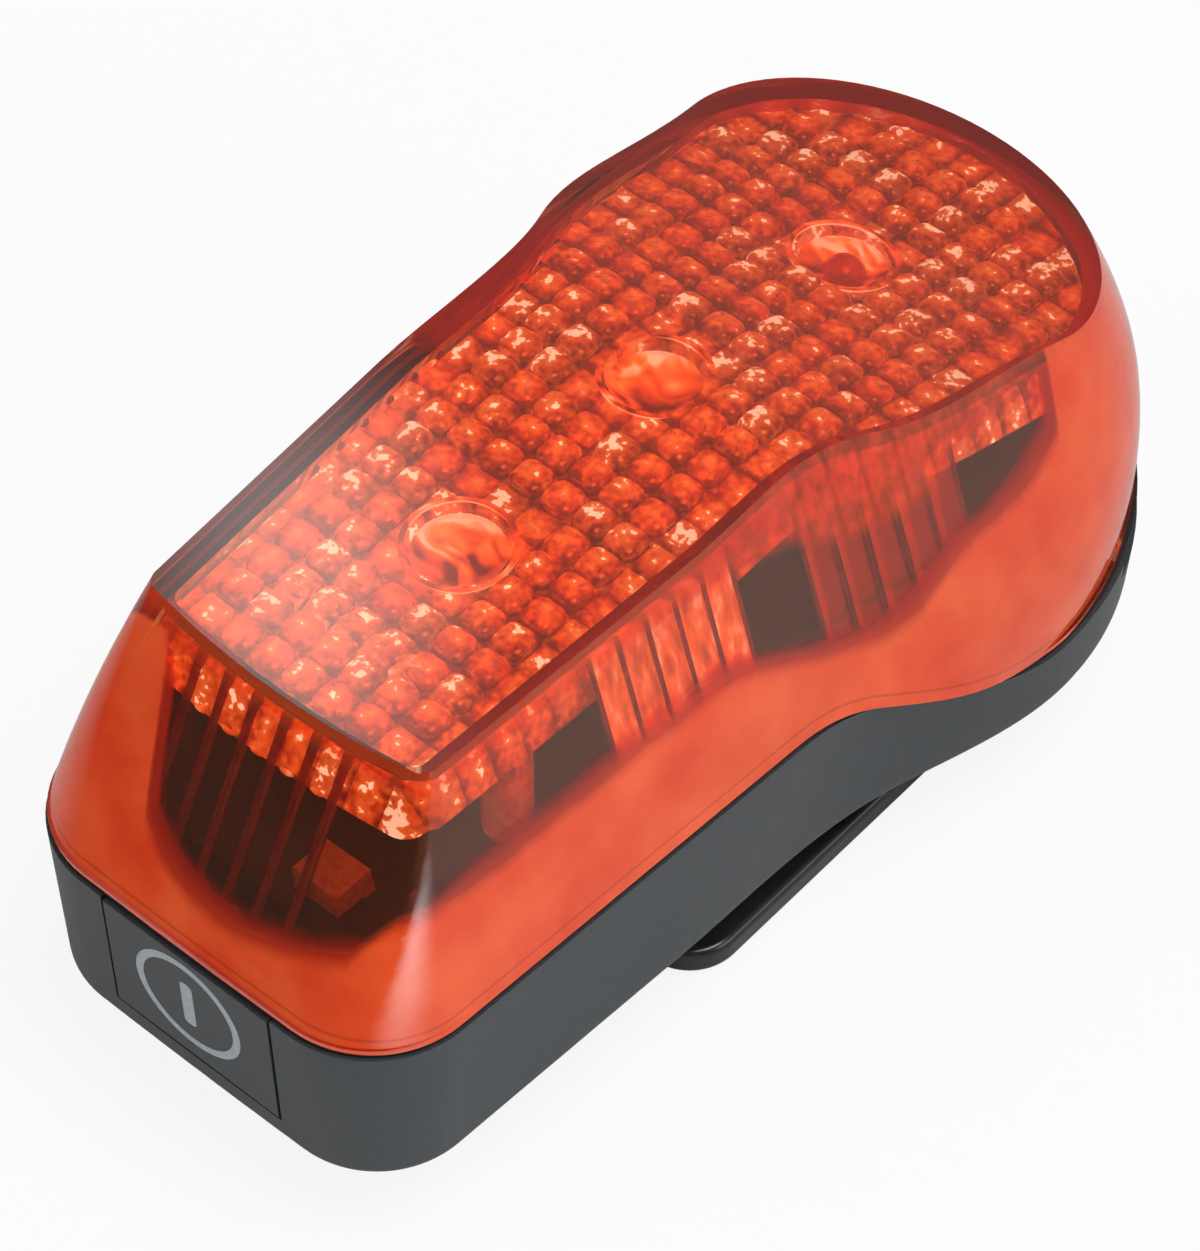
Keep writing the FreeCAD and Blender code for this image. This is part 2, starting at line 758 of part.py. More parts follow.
def make_foam():
    """Foam under the board, relieved where lamp leads stick out."""
    body = new_body("foam_pad")
    low = "base_floor + cell_gap + 2 * cell_radius + foam_gap"
    block = rectangle(sketch_on(body, "foam_outline", "XY_Plane", low),
                      ("-foam_half", from_near("foam_start")),
                      ("foam_half", from_near("foam_start + foam_length")))
    pad(body, "foam_block", block, f"board_top - board_thick - ({low})")
    for led in ("led_near", "led_mid"):
        relief = rectangle(sketch_on(body, f"{led}_relief_outline", "XY_Plane", "board_top - board_thick"),
                           ("-2 * lead_spread", from_near(f"{led}_at - lead_spread")),
                           ("2 * lead_spread", from_near(f"{led}_at + lead_spread")))
        pocket(body, f"{led}_relief", relief, "2 * lead_tail")
    piece("foam_pad", body)


def make_board_screws():
    screws = []
    for side, sign in SIDES:
        for row in ("pillar_near", "pillar_far"):
            x = f"{sign}pillar_side"
            screws.append(fuse(f"board_screw_{row}_{side}", [
                cylinder(f"{row}_screw_head_{side}", "board_screw_head", "board_screw_head_height",
                         x, row, "board_top - board_thick - board_screw_head_height"),
                cylinder(f"{row}_screw_shank_{side}", "board_screw_radius",
                         "board_thick + board_screw_grip - running_gap", x, row,
                         "board_top - board_thick")]))
    piece("board_screws", group("board_screws", screws))


def make_switch():
    body = new_body("switch_case")
    top = "board_top - board_thick"
    outline_low = f"{top} - switch_height"
    sketch = rectangle(sketch_on(body, "switch_outline", "XY_Plane", outline_low),
                       ("-switch_width / 2", from_near("switch_start")),
                       ("switch_width / 2", from_near("switch_start + switch_depth")))
    pad(body, "switch_block", sketch, "switch_height")
    bore = cylinder("stem_bore", "stem_bore_radius", "stem_bore_depth + 1", "0", "switch_start - 1",
                    "stem_height", along_y=True)
    piece("switch_body", cut("switch_body", body, bore))
    piece("switch_stem", cylinder("switch_stem", "stem_radius", "stem_reach + stem_inside", "0",
                                  "switch_start - stem_reach", "stem_height", along_y=True))


# Power key

def make_key():
    body = new_body("power_button")
    top = "seam_near - key_gap"
    slope = "base_near_draft / seam_near"
    rear = "key_flange_start"
    post_end = "switch_start - stem_reach - stem_slack - pad_thick"
    face = polygon(sketch_on(body, "key_profile", "YZ_Plane", "-key_half"), [
        (from_near(f"base_near_draft - key_low * {slope}"), "key_low"),
        (from_near(rear), "key_low"),
        (from_near(rear), top),
        (from_near(f"base_near_draft - ({top}) * {slope}"), top)])
    pad(body, "key_face", face, "2 * key_half")
    low = "key_low - key_gap + key_flange_over"
    steps = {
        "flange": ("key_flange_half", rear, f"{rear} + key_flange_thick", low, "key_flange_high"),
        "web": ("key_post_half", rear, f"{rear} + key_flange_thick", low, top),
        "post": ("key_post_half", rear, post_end, "stem_height - key_post_half", top),
    }
    for name, (half, start, end, bottom, high) in steps.items():
        step = rectangle(sketch_on(body, f"key_{name}_outline", "YZ_Plane", f"-{half}"),
                         (from_near(start), bottom), (from_near(end), high))
        pad(body, f"key_{name}", step, f"2 * {half}")
    piece("power_button", body)
    piece("button_pad", box("button_pad", ("2 * pad_half", "pad_thick", "2 * pad_half"), "-pad_half",
                            post_end, "stem_height - pad_half"))


# Cells and contacts

def make_cells():
    height = "base_floor + cell_gap + cell_radius"
    nub_start = f"{plate_face} + contact_play"
    piece("cell_left", fuse("cell_left", [
        cylinder("cell_left_nub", "cell_nub_radius", "2 * cell_nub", "-cell_side", nub_start,
                 height, along_y=True),
        cylinder("cell_left_can", "cell_radius", "cell_body", "-cell_side",
                 f"{nub_start} + cell_nub", height, along_y=True)]))
    can_start = f"{plate_face} + spring_length"
    piece("cell_right", fuse("cell_right", [
        cylinder("cell_right_can", "cell_radius", "cell_body", "cell_side", can_start,
                 height, along_y=True),
        cylinder("cell_right_nub", "cell_nub_radius", "2 * cell_nub", "cell_side",
                 f"{can_start} + cell_body - cell_nub", height, along_y=True)]))


def contact_plate(name, centre):
    """A near contact: an upright plate with a finger that reaches up to the board."""
    body = new_body(name)
    back, front = from_near("contact_start"), from_near(plate_face)
    finger_top = "board_top - board_thick - finger_gap"
    for part, half, low, high in (("plate", "contact_half", "contact_low", "contact_high"),
                                  ("finger", "finger_half", "contact_high - finger_half", finger_top)):
        sketch = rectangle(sketch_on(body, f"{name}_{part}_outline", "XY_Plane", low),
                           (f"{centre} - {half}", back), (f"{centre} + {half}", front))
        pad(body, f"{name}_{part}", sketch, f"{high} - ({low})")
    return piece(name, body)


def coil(name, x, start):
    """A contact spring: a helix along +Y that fills the space between a plate and a cell."""
    height = "base_floor + cell_gap + cell_radius"
    length = "(spring_length - 2 * contact_play - 2 * spring_wire)"
    first = f"{start} + contact_play + spring_wire"
    helix = turned(doc.addObject("Part::Helix", f"{name}_path"), True)
    bind(helix, Radius="spring_radius", Height=length, Pitch=f"{length} / spring_turns")
    place(helix, x, first, height)
    wire = doc.addObject("Part::Circle", f"{name}_wire")
    bind(wire, Radius="spring_wire")
    place(wire, f"{x} + spring_radius", first, height)
    sweep = doc.addObject("Part::Sweep", name)
    sweep.Sections = [wire]
    sweep.Spine = (helix, [])
    sweep.Solid = True
    sweep.Frenet = True
    return piece(name, sweep)


def coil_gap():
    """The least gap of a spring's wire to its own next turn, measured on points of the helix."""
    length = size.spring_length - 2 * size.contact_play - 2 * size.spring_wire
    steps_per_turn = 72
    points = []
    for step in range(int(size.spring_turns * steps_per_turn) + 1):
        turn = step / steps_per_turn
        angle = 2 * math.pi * turn
        points.append(Vector(size.spring_radius * math.cos(angle), length * turn / size.spring_turns,
                             size.spring_radius * math.sin(angle)))
    half_turn = steps_per_turn // 2
    return min((points[other] - points[step]).Length
               for step in range(len(points))
               for other in range(step + half_turn, len(points))) - 2 * size.spring_wire


def make_contacts():
    contact_plate("contact_positive", "-cell_side")
    contact_plate("contact_negative", "cell_side")
    coil("spring_near", "cell_side", plate_face)
    coil("spring_far", "-cell_side", f"{plate_face} + contact_play + cell_nub + cell_body")
    body = new_body("contact_bridge")
    sketch = rectangle(sketch_on(body, "bridge_outline", "XY_Plane", "contact_low"),
                       ("-cell_side - contact_half", from_near(bridge_start)),
                       ("cell_side + contact_half", from_near(f"{bridge_start} + contact_thick")))
    pad(body, "bridge_plate", sketch, "contact_high - contact_low")
    piece("contact_bridge", body)


# Strap clip: a foot screwed to the tray, and a tongue that springs away from the tray

def upright_edges(shape, at_y):
    """The names of a slab's upright edges at one end."""
    return [f"Edge{number}" for number, edge in enumerate(shape.Edges, 1)
            if edge.BoundBox.ZLength > size.clip_thick / 2 and abs(edge.BoundBox.Center.y - at_y) < 0.01]


def rim_edges(shape, butt_y):
    """The names of the edges round a slab's two faces, apart from those at the butt joint."""
    return [f"Edge{number}" for number, edge in enumerate(shape.Edges, 1)
            if edge.BoundBox.ZLength < 1e-6 and abs(edge.BoundBox.Center.y - butt_y) > 0.01]


def clip_slab(name, start, end, round_end, butt_end):
    """A body with a slab of the clip plate whose outer corners and rims are rounded."""
    body = new_body(name)
    sketch = rectangle(sketch_on(body, f"{name}_outline", "XY_Plane", "-clip_gap - clip_thick"),
                       ("-clip_half", from_near(start)), ("clip_half", from_near(end)))
    slab = pad(body, f"{name}_slab", sketch, "clip_thick")
    doc.recompute()
    corners = body.newObject("PartDesign::Fillet", f"{name}_corners")
    corners.Base = (slab, upright_edges(slab.Shape, size.near_end + round_end))
    bind(corners, Radius="clip_corner")
    doc.recompute()
    rims = body.newObject("PartDesign::Fillet", f"{name}_rims")
    rims.Base = (corners, rim_edges(corners.Shape, size.near_end + butt_end))
    bind(rims, Radius="clip_edge")
    doc.recompute()
    return body


def make_clip():
    split = "clip_end - foot_length"
    split_y = size.clip_end - size.foot_length
    plate = clip_slab("foot_plate", split, "clip_end", size.clip_end, split_y)
    block = box("foot_block", ("2 * foot_half", "foot_length", "clip_gap + clip_thick / 2 + foot_recess"),
                "-foot_half", split, "-clip_gap - clip_thick / 2")
    holes, screws = [], []
    for side, sign in SIDES:
        x = f"{sign}clip_screw_side"
        head_low = "-clip_gap - clip_thick + clip_screw_sink"
        holes.append(cylinder(f"foot_hole_{side}", "clip_screw_radius + screw_fit",
                              "clip_gap + 2 * clip_thick + 2 * foot_recess", x, clip_screw_at,
                              "-clip_gap - 2 * clip_thick"))
        holes.append(cylinder(f"foot_sink_{side}", "clip_screw_head + clip_screw_slack",
                              "clip_screw_head_height + clip_screw_sink + clip_thick", x, clip_screw_at,
                              "-clip_gap - 2 * clip_thick"))
        screws.append(fuse(f"clip_screw_{side}", [
            cylinder(f"clip_screw_head_{side}", "clip_screw_head", "clip_screw_head_height", x,
                     clip_screw_at, head_low),
            cylinder(f"clip_screw_shank_{side}", "clip_screw_radius", "clip_screw_length", x,
                     clip_screw_at, f"{head_low} + clip_screw_head_height")]))
    piece("clip_foot", cut("clip_foot", fuse("foot_solids", [plate, block]), fuse("foot_holes", holes)))
    piece("clip_screws", group("clip_screws", screws))

    tongue_start = "clip_end - clip_length"
    tongue = clip_slab("clip_tongue", tongue_start, f"{split} - clip_split_gap",
                       size.clip_end - size.clip_length, split_y - size.clip_split_gap)
    ridge_start = f"{tongue_start} + clip_ridge_at"
    ridge = rectangle(sketch_on(tongue, "ridge_outline", "XY_Plane", "-clip_gap - clip_thick / 2"),
                      ("-clip_half / 2", from_near(ridge_start)),
                      ("clip_half / 2", from_near(f"{ridge_start} + 2 * clip_ridge_height")))
    pad(tongue, "tongue_ridge", ridge, "clip_thick / 2 + clip_ridge_height")
    piece("clip_tongue", tongue)


make_base()
make_gasket()
make_lens()
make_insert()
make_board()
make_leds()
make_board_parts()
make_foam()
make_board_screws()
make_switch()
make_key()
make_cells()
make_contacts()
make_clip()
doc.recompute()
print(f"contact springs: least gap of the wire to itself {coil_gap():.2f} mm")

faults = [thing.Name for thing in doc.Objects if {"Invalid", "Error"} & set(thing.State)]
faults += [name for name, thing in pieces.items() if thing.Shape.isNull() or not thing.Shape.isValid()]
if faults:
    raise RuntimeError("these objects failed: " + ", ".join(faults))

os.makedirs("parts", exist_ok=True)
for name, thing in pieces.items():
    thing.Shape.exportStep(f"parts/{name}.step")
    print(f"{name}: {len(thing.Shape.Solids)} solids, {thing.Shape.Volume:.1f} mm3")
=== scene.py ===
import bmesh
import bpy
import math
from mathutils import Matrix, Vector


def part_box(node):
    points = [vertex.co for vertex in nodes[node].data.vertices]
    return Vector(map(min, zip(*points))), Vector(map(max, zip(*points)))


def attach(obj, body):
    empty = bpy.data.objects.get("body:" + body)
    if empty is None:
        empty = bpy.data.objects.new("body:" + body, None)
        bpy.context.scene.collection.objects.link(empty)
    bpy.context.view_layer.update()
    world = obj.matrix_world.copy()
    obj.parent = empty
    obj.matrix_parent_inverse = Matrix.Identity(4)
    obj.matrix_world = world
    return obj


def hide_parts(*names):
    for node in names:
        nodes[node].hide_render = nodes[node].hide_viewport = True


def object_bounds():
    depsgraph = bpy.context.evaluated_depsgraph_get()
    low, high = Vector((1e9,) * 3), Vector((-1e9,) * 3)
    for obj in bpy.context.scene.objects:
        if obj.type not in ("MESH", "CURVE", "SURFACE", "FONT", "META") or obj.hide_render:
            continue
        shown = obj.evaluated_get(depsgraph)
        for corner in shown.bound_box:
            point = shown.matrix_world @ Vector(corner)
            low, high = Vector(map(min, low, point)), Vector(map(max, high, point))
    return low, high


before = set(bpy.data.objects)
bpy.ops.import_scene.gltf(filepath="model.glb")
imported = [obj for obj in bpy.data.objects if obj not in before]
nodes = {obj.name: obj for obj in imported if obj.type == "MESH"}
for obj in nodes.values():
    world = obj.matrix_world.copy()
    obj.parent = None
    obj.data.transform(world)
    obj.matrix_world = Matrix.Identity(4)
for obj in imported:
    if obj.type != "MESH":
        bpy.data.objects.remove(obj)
cad_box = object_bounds()

MM = 0.001

# Measures of the light, in millimetres
NEAR_END = -40.6  # the key end, along Y
SEAM_HIGH = 13.2  # the seam at the key end
SEAM_DIP = 8.0  # how far the seam drops through the flare
DIP_FROM, DIP_TO = -4.5, 18.5  # where it does, along Y
ROOF_FALL = 0.256  # the roof's slope past its high part
ROOF_TURN = 43.5  # where that starts, from the key end
PITCH = 2.5  # of the optic's cushions
FIELD_FROM = 9.0  # the middle of their first row, from the key end
FINGER_FROM, FINGER_PITCH = -4.9, 2.3  # the fingers inside the near wall, along X
SUNK = 0.5  # how far the plate of the optic is pressed down to seat the cushions


# Modelling

SOFT_EDGE = 28  # degrees up to which an edge of a shell is shaded smooth


def begin(primitive, name, **settings):
    """Add a primitive with nothing else selected, and name it and its mesh."""
    bpy.ops.object.select_all(action="DESELECT")
    primitive(**settings)
    made = bpy.context.object
    made.name = name
    made.data.name = name
    return made


def only(*objects):
    """Select these objects and nothing else."""
    bpy.ops.object.select_all(action="DESELECT")
    for thing in objects:
        thing.select_set(True)
    bpy.context.view_layer.objects.active = objects[0]


def edit(piece, kind="FACE"):
    """Go into edit mode on a piece with nothing selected."""
    only(piece)
    bpy.ops.object.mode_set(mode="EDIT")
    bpy.ops.mesh.select_mode(type=kind)
    bpy.ops.mesh.select_all(action="DESELECT")


def pick(piece, parts, test):
    """Select the faces, edges or verts of a piece in edit mode that pass the test."""
    mesh = bmesh.from_edit_mesh(piece.data)
    for part in getattr(mesh, parts):
        part.select_set(bool(test(part)))
    mesh.select_flush_mode()
    bmesh.update_edit_mesh(piece.data)


def close(piece, angle=35):
    """Leave edit mode, put the piece's place into its mesh and smooth it."""
    if bpy.context.mode == "EDIT_MESH":
        bpy.ops.object.mode_set(mode="OBJECT")
    only(piece)
    bpy.ops.object.transform_apply(location=True, rotation=True, scale=True)
    bpy.ops.object.shade_smooth_by_angle(angle=math.radians(angle))
    return piece


def finish_modifier(piece, kind, **settings):
    """Add a modifier with its settings and apply it."""
    only(piece)
    modifier = piece.modifiers.new(kind.title(), kind)
    for name, value in settings.items():
        setattr(modifier, name, value)
    bpy.ops.object.modifier_apply(modifier=modifier.name)


def copy_of(piece, name, place=None):
    """A copy with its own mesh, moved by a matrix."""
    twin = piece.copy()
    twin.data = piece.data.copy()
    twin.name = name
    twin.data.name = name
    twin.parent = None
    twin.modifiers.clear()
    bpy.context.scene.collection.objects.link(twin)
    if place is not None:
        twin.data.transform(place)
    return twin


def join(name, things):
    """Join pieces into the first one."""
    only(*things)
    bpy.ops.object.join()
    things[0].name = name
    things[0].data.name = name
    return things[0]


def smooth_copy(node, name):
    """A merged copy of a frame node, shaded smooth across its soft edges."""
    twin = copy_of(nodes[node], name)
    twin.hide_render = False
    edit(twin, "VERT")
    bpy.ops.mesh.select_all(action="SELECT")
    bpy.ops.mesh.remove_doubles(threshold=2e-6)
    bpy.ops.mesh.customdata_custom_splitnormals_clear()
    return close(twin, SOFT_EDGE)


def under(node, x, y):
    """The place and normal where a line straight down from well above meets a node, in millimetres."""
    hit, place, normal, _ = nodes[node].ray_cast(Vector((x, y, 60)) * MM, Vector((0, 0, -1)))
    return (place / MM, normal) if hit else (None, None)


def beside(node, start, way):
    """Where a line from a point inside the lens first meets a node, in millimetres."""
    hit, place, _, _ = nodes[node].ray_cast(Vector(start) * MM, Vector(way))
    return place / MM if hit else None


# Colours and materials

def colour(code):
    """The linear colour of an sRGB hex value."""
    parts = [int(code[start:start + 2], 16) / 255 for start in (1, 3, 5)]
    linear = [part / 12.92 if part <= 0.04045 else ((part + 0.055) / 1.055) ** 2.4 for part in parts]
    return linear + [1.0]


def add(tree, kind, inputs=None, stops=(), **settings):
    """Add a node with its settings, its inputs (values or other nodes' outputs) and a ramp's stops."""
    made = tree.nodes.new(kind)
    for name, value in settings.items():
        setattr(made, name, value)
    for name, value in (inputs or {}).items():
        if isinstance(value, bpy.types.NodeSocket):
            tree.links.new(value, made.inputs[name])
        else:
            made.inputs[name].default_value = value
    for number, (place, tone) in enumerate(stops):
        elements = made.color_ramp.elements
        stop = elements[number] if number < 2 else elements.new(1.0)
        stop.position = place
        stop.color = colour(tone) if isinstance(tone, str) else (tone, tone, tone, 1)
    return made


def new_material(name, **shader_values):
    """An empty material with its shader, whose constant values sit on the shader itself."""
    material = bpy.data.materials.new(name)
    material.use_nodes = True
    tree = material.node_tree
    tree.nodes.clear()
    values = {key.replace("_", " ").title().replace("Ior", "IOR"): value
              for key, value in shader_values.items()}
    shader = add(tree, "ShaderNodeBsdfPrincipled", values)
    add(tree, "ShaderNodeOutputMaterial", {"Surface": shader.outputs["BSDF"]})
    return material, tree, shader


def grain_field(tree, size_mm, detail=2.0, stretch=(1, 1, 1)):
    """Noise whose lumps are that many millimetres wide, and longer by the stretch along each axis."""
    place = add(tree, "ShaderNodeTexCoord").outputs["Object"]
    scaled = add(tree, "ShaderNodeMapping", {
        "Vector": place, "Scale": [1 / (size_mm * MM * longer) for longer in stretch]})
    return add(tree, "ShaderNodeTexNoise", {
        "Vector": scaled.outputs["Vector"], "Scale": 1.0, "Detail": detail}).outputs["Fac"]


def grained(name, dark, light, size_mm, depth_mm, stretch=(1, 1, 1), **shader_values):
    """A material with a grain of that size and depth whose colour wanders between two values."""
    material, tree, shader = new_material(name, **shader_values)
    field = grain_field(tree, size_mm, stretch=stretch)
    tone = add(tree, "ShaderNodeValToRGB", {"Fac": field}, ((0.3, dark), (0.7, light)))
    tree.links.new(tone.outputs["Color"], shader.inputs["Base Color"])
    bump = add(tree, "ShaderNodeBump", {"Height": field, "Distance": depth_mm * MM, "Strength": 0.6})
    tree.links.new(bump.outputs["Normal"], shader.inputs["Normal"])
    return material


def paint(piece, material):
    """Give a piece one material."""
    piece.data.materials.clear()
    piece.data.materials.append(material)


# ABS, moulded in a finely etched tool: satin, slightly speckled slate grey
tray_plastic = grained("etched slate ABS", "#2F3438", "#3E4448", 0.16, 0.012, roughness=0.42, ior=1.53)
# nylon from a polished tool: nearly black, with a clear gloss
clip_plastic = grained("polished black nylon", "#1E2123", "#2A2D2F", 3.0, 0.004, roughness=0.16, ior=1.53)
# printed ink: thin, matte and light grey
print_ink = grained("light grey ink", "#A9AEB1", "#BCC1C4", 0.3, 0.004, roughness=0.5)
# silicone rubber, moulded: dull and nearly black, with a little painted red light from the lens beside it
rubber = grained("black silicone rubber", "#1C0E0B", "#281410", 0.5, 0.01, roughness=0.7)
# polyethylene foam, cut from a sheet: matte, dark and coarse
foam = grained("closed-cell foam", "#2A2A2D", "#3D3D40", 0.4, 0.08, roughness=0.95)
# epoxy glass board under solder mask: dark green black with a low sheen
board = grained("dark solder mask", "#12181A", "#1D2624", 1.4, 0.01, roughness=0.35)
# epoxy with a red dye and a diffuser: milky red and glossy
led_epoxy = grained("red diffused epoxy", "#D9271C", "#F04A34", 0.8, 0.002, roughness=0.15,
                    transmission_weight=0.2, ior=1.53)
# epoxy moulded round a chip: flat black
package = grained("black moulded package", "#1A1A1A", "#262626", 0.3, 0.01, roughness=0.55)
# ceramic, dipped and fired: tan with a dry sheen
ceramic = grained("tan ceramic", "#C8925A", "#E4B684", 0.4, 0.01, roughness=0.45)
# copper with a coat of tin: bright grey metal that flowed before it set
solder = grained("tinned metal", "#BDBDBA", "#D8D8D4", 0.5, 0.006, metallic=1.0, roughness=0.3)
# steel strip and wire, nickel-plated: warm bright metal, its grain drawn out along the strip
nickel = grained("nickel-plated steel", "#C6C3BC", "#DAD7CF", 1.0, 0.003, stretch=(1, 6, 1), metallic=1.0,
                 roughness=0.26)
# steel, zinc-plated: colder and duller than the nickel
zinc = grained("zinc-plated steel", "#A9ABAD", "#C4C6C8", 0.5, 0.004, metallic=1.0, roughness=0.32)
# steel can with a baked coat of paint: smooth dark blue
cell_can = grained("painted steel can", "#2E4257", "#38506A", 2.0, 0.003, roughness=0.3, metallic=0.2)
# nylon, moulded: satin, black for the case and white for the stem
switch_black = grained("black nylon", "#141414", "#1E1E1E", 0.3, 0.008, roughness=0.5)
switch_white = grained("white nylon", "#D9D8D2", "#E8E7E2", 0.3, 0.006, roughness=0.45)


def above_seam(tree, axes):
    """How far a place is above the seam line, which dips through the flare."""
    seam = add(tree, "ShaderNodeMapRange", {
        "Value": axes.outputs["Y"], "From Min": DIP_FROM * MM, "From Max": DIP_TO * MM,
        "To Min": SEAM_HIGH * MM, "To Max": (SEAM_HIGH - SEAM_DIP) * MM}, interpolation_type="SMOOTHSTEP")
    return add(tree, "ShaderNodeMath", {0: axes.outputs["Z"], 1: seam.outputs["Result"]},
               operation="SUBTRACT").outputs[0]


TALLEST = 40  # heights on a ramp are shares of this


def profile(tree, field, low, high, points):
    """A height that follows points in millimetres along a field, which runs from low to high."""
    along = add(tree, "ShaderNodeMapRange", {"Value": field, "From Min": low * MM, "From Max": high * MM})
    shares = [((place - low) / (high - low), height / TALLEST) for place, height in points]
    ramp = add(tree, "ShaderNodeValToRGB", {"Fac": along.outputs["Result"]}, shares)
    ramp.color_ramp.interpolation = "B_SPLINE"
    return add(tree, "ShaderNodeMath", {0: ramp.outputs["Color"], 1: TALLEST * MM},
               operation="MULTIPLY").outputs[0]


# Heights on the lens, in millimetres, at places along Y or X: how high the cloudy part with its painted glow
# on each side and of the near wall reaches, and the crease between each side and the roof
CLOUD_ALONG = ((-33.0, 22.6), (-8.0, 22.6), (-4.0, 20.6), (1.0, 17.6), (5.5, 17.0), (9.0, 19.4), (12.0, 20.3),
               (20.5, 20.3), (22.5, 31.0))
CLOUD_ACROSS = ((-8.4, 31.0), (-7.0, 27.0), (-5.4, 19.0), (0.0, 16.9), (5.0, 17.4), (10.6, 19.6),
                (12.4, 23.2))
CREASE = ((-33.0, 29.7), (-14.0, 29.5), (-5.0, 28.4), (-0.5, 27.0), (2.5, 24.6), (9.5, 24.2), (12.5, 27.0),
          (23.4, 25.6))
HALF_LENGTH, HALF_WIDTH = 40.6, 20.8  # how far from the middle the heights are given

# Places where looks change, in metres
CREASE_FROM, CREASE_TO = -0.0007, 0.0004  # across the crease
EDGE_LINE = 0.0014  # from the seam up to the thin dark line
FLARE_FROM = -0.007  # along Y, where the looks of the flare begin
RIB_FROM, RIB_HALF_PITCH = 0.0006, 0.0012  # along Y, of the flare's ribs
RIBBED = 0.0066  # the middle of their stretch along Y, and half its length


def clear_share(tree, axes, height, slope, below):
    """How clear the lens is, from 0 to 1: in its windows and on its roof, less so on its slopes."""
    side = profile(tree, axes.outputs["Y"], -HALF_LENGTH, HALF_LENGTH, CLOUD_ALONG)
    near = profile(tree, axes.outputs["X"], -HALF_WIDTH, HALF_WIDTH, CLOUD_ACROSS)
    front = add(tree, "ShaderNodeMapRange", {
        "Value": axes.outputs["Y"], "From Min": -0.0320, "From Max": -0.0305, "To Min": 1.0, "To Max": 0.0})
    cloud_top = add(tree, "ShaderNodeMix", {0: front.outputs["Result"], 2: side, 3: near},
                    data_type="FLOAT").outputs[0]
    over = add(tree, "ShaderNodeMath", {0: height, 1: cloud_top}, operation="SUBTRACT").outputs[0]
    window = add(tree, "ShaderNodeMapRange", {"Value": over, "From Min": -0.0014, "From Max": 0.0004},
                 interpolation_type="SMOOTHSTEP").outputs["Result"]
    roof = add(tree, "ShaderNodeMapRange", {
        "Value": slope, "From Min": 0.90, "From Max": 0.97}).outputs["Result"]
    upright_wall = add(tree, "ShaderNodeMapRange", {
        "Value": slope, "From Min": 0.52, "From Max": 0.62, "To Min": 1.0, "To Max": 0.25}).outputs["Result"]
    under_crease = add(tree, "ShaderNodeMapRange", {
        "Value": below, "From Min": CREASE_FROM, "From Max": CREASE_TO,
        "To Min": 0.55, "To Max": 1.0}).outputs["Result"]
    shown = add(tree, "ShaderNodeMath", {0: upright_wall, 1: under_crease}, operation="MULTIPLY").outputs[0]
    side_clear = add(tree, "ShaderNodeMath", {0: window, 1: shown}, operation="MULTIPLY").outputs[0]
    return add(tree, "ShaderNodeMath", {0: side_clear, 1: roof}, operation="MAXIMUM").outputs[0]


def rib_shade(tree, axes, shoulder):
    """What is left of the light on the shoulder of the flare, where its fine ribs run up through it."""
    past = add(tree, "ShaderNodeMath", {0: axes.outputs["Y"], 1: -RIB_FROM}, operation="ADD").outputs[0]
    beside_rib = add(tree, "ShaderNodeMath", {0: past, 1: RIB_HALF_PITCH}, operation="PINGPONG").outputs[0]
    rib_dark = add(tree, "ShaderNodeMapRange", {
        "Value": beside_rib, "From Min": 0.00008, "From Max": 0.0003, "To Min": 0.75, "To Max": 0.0},
        interpolation_type="SMOOTHSTEP").outputs["Result"]
    ribbed = add(tree, "ShaderNodeMath", {0: axes.outputs["Y"], 1: RIBBED, 2: RIBBED},
                 operation="COMPARE").outputs[0]
    shown_rib = add(tree, "ShaderNodeMath", {0: ribbed, 1: shoulder}, operation="MULTIPLY").outputs[0]
    dimmed = add(tree, "ShaderNodeMath", {0: shown_rib, 1: rib_dark}, operation="MULTIPLY").outputs[0]
    return add(tree, "ShaderNodeMath", {0: 1.0, 1: dimmed}, operation="SUBTRACT").outputs[0]


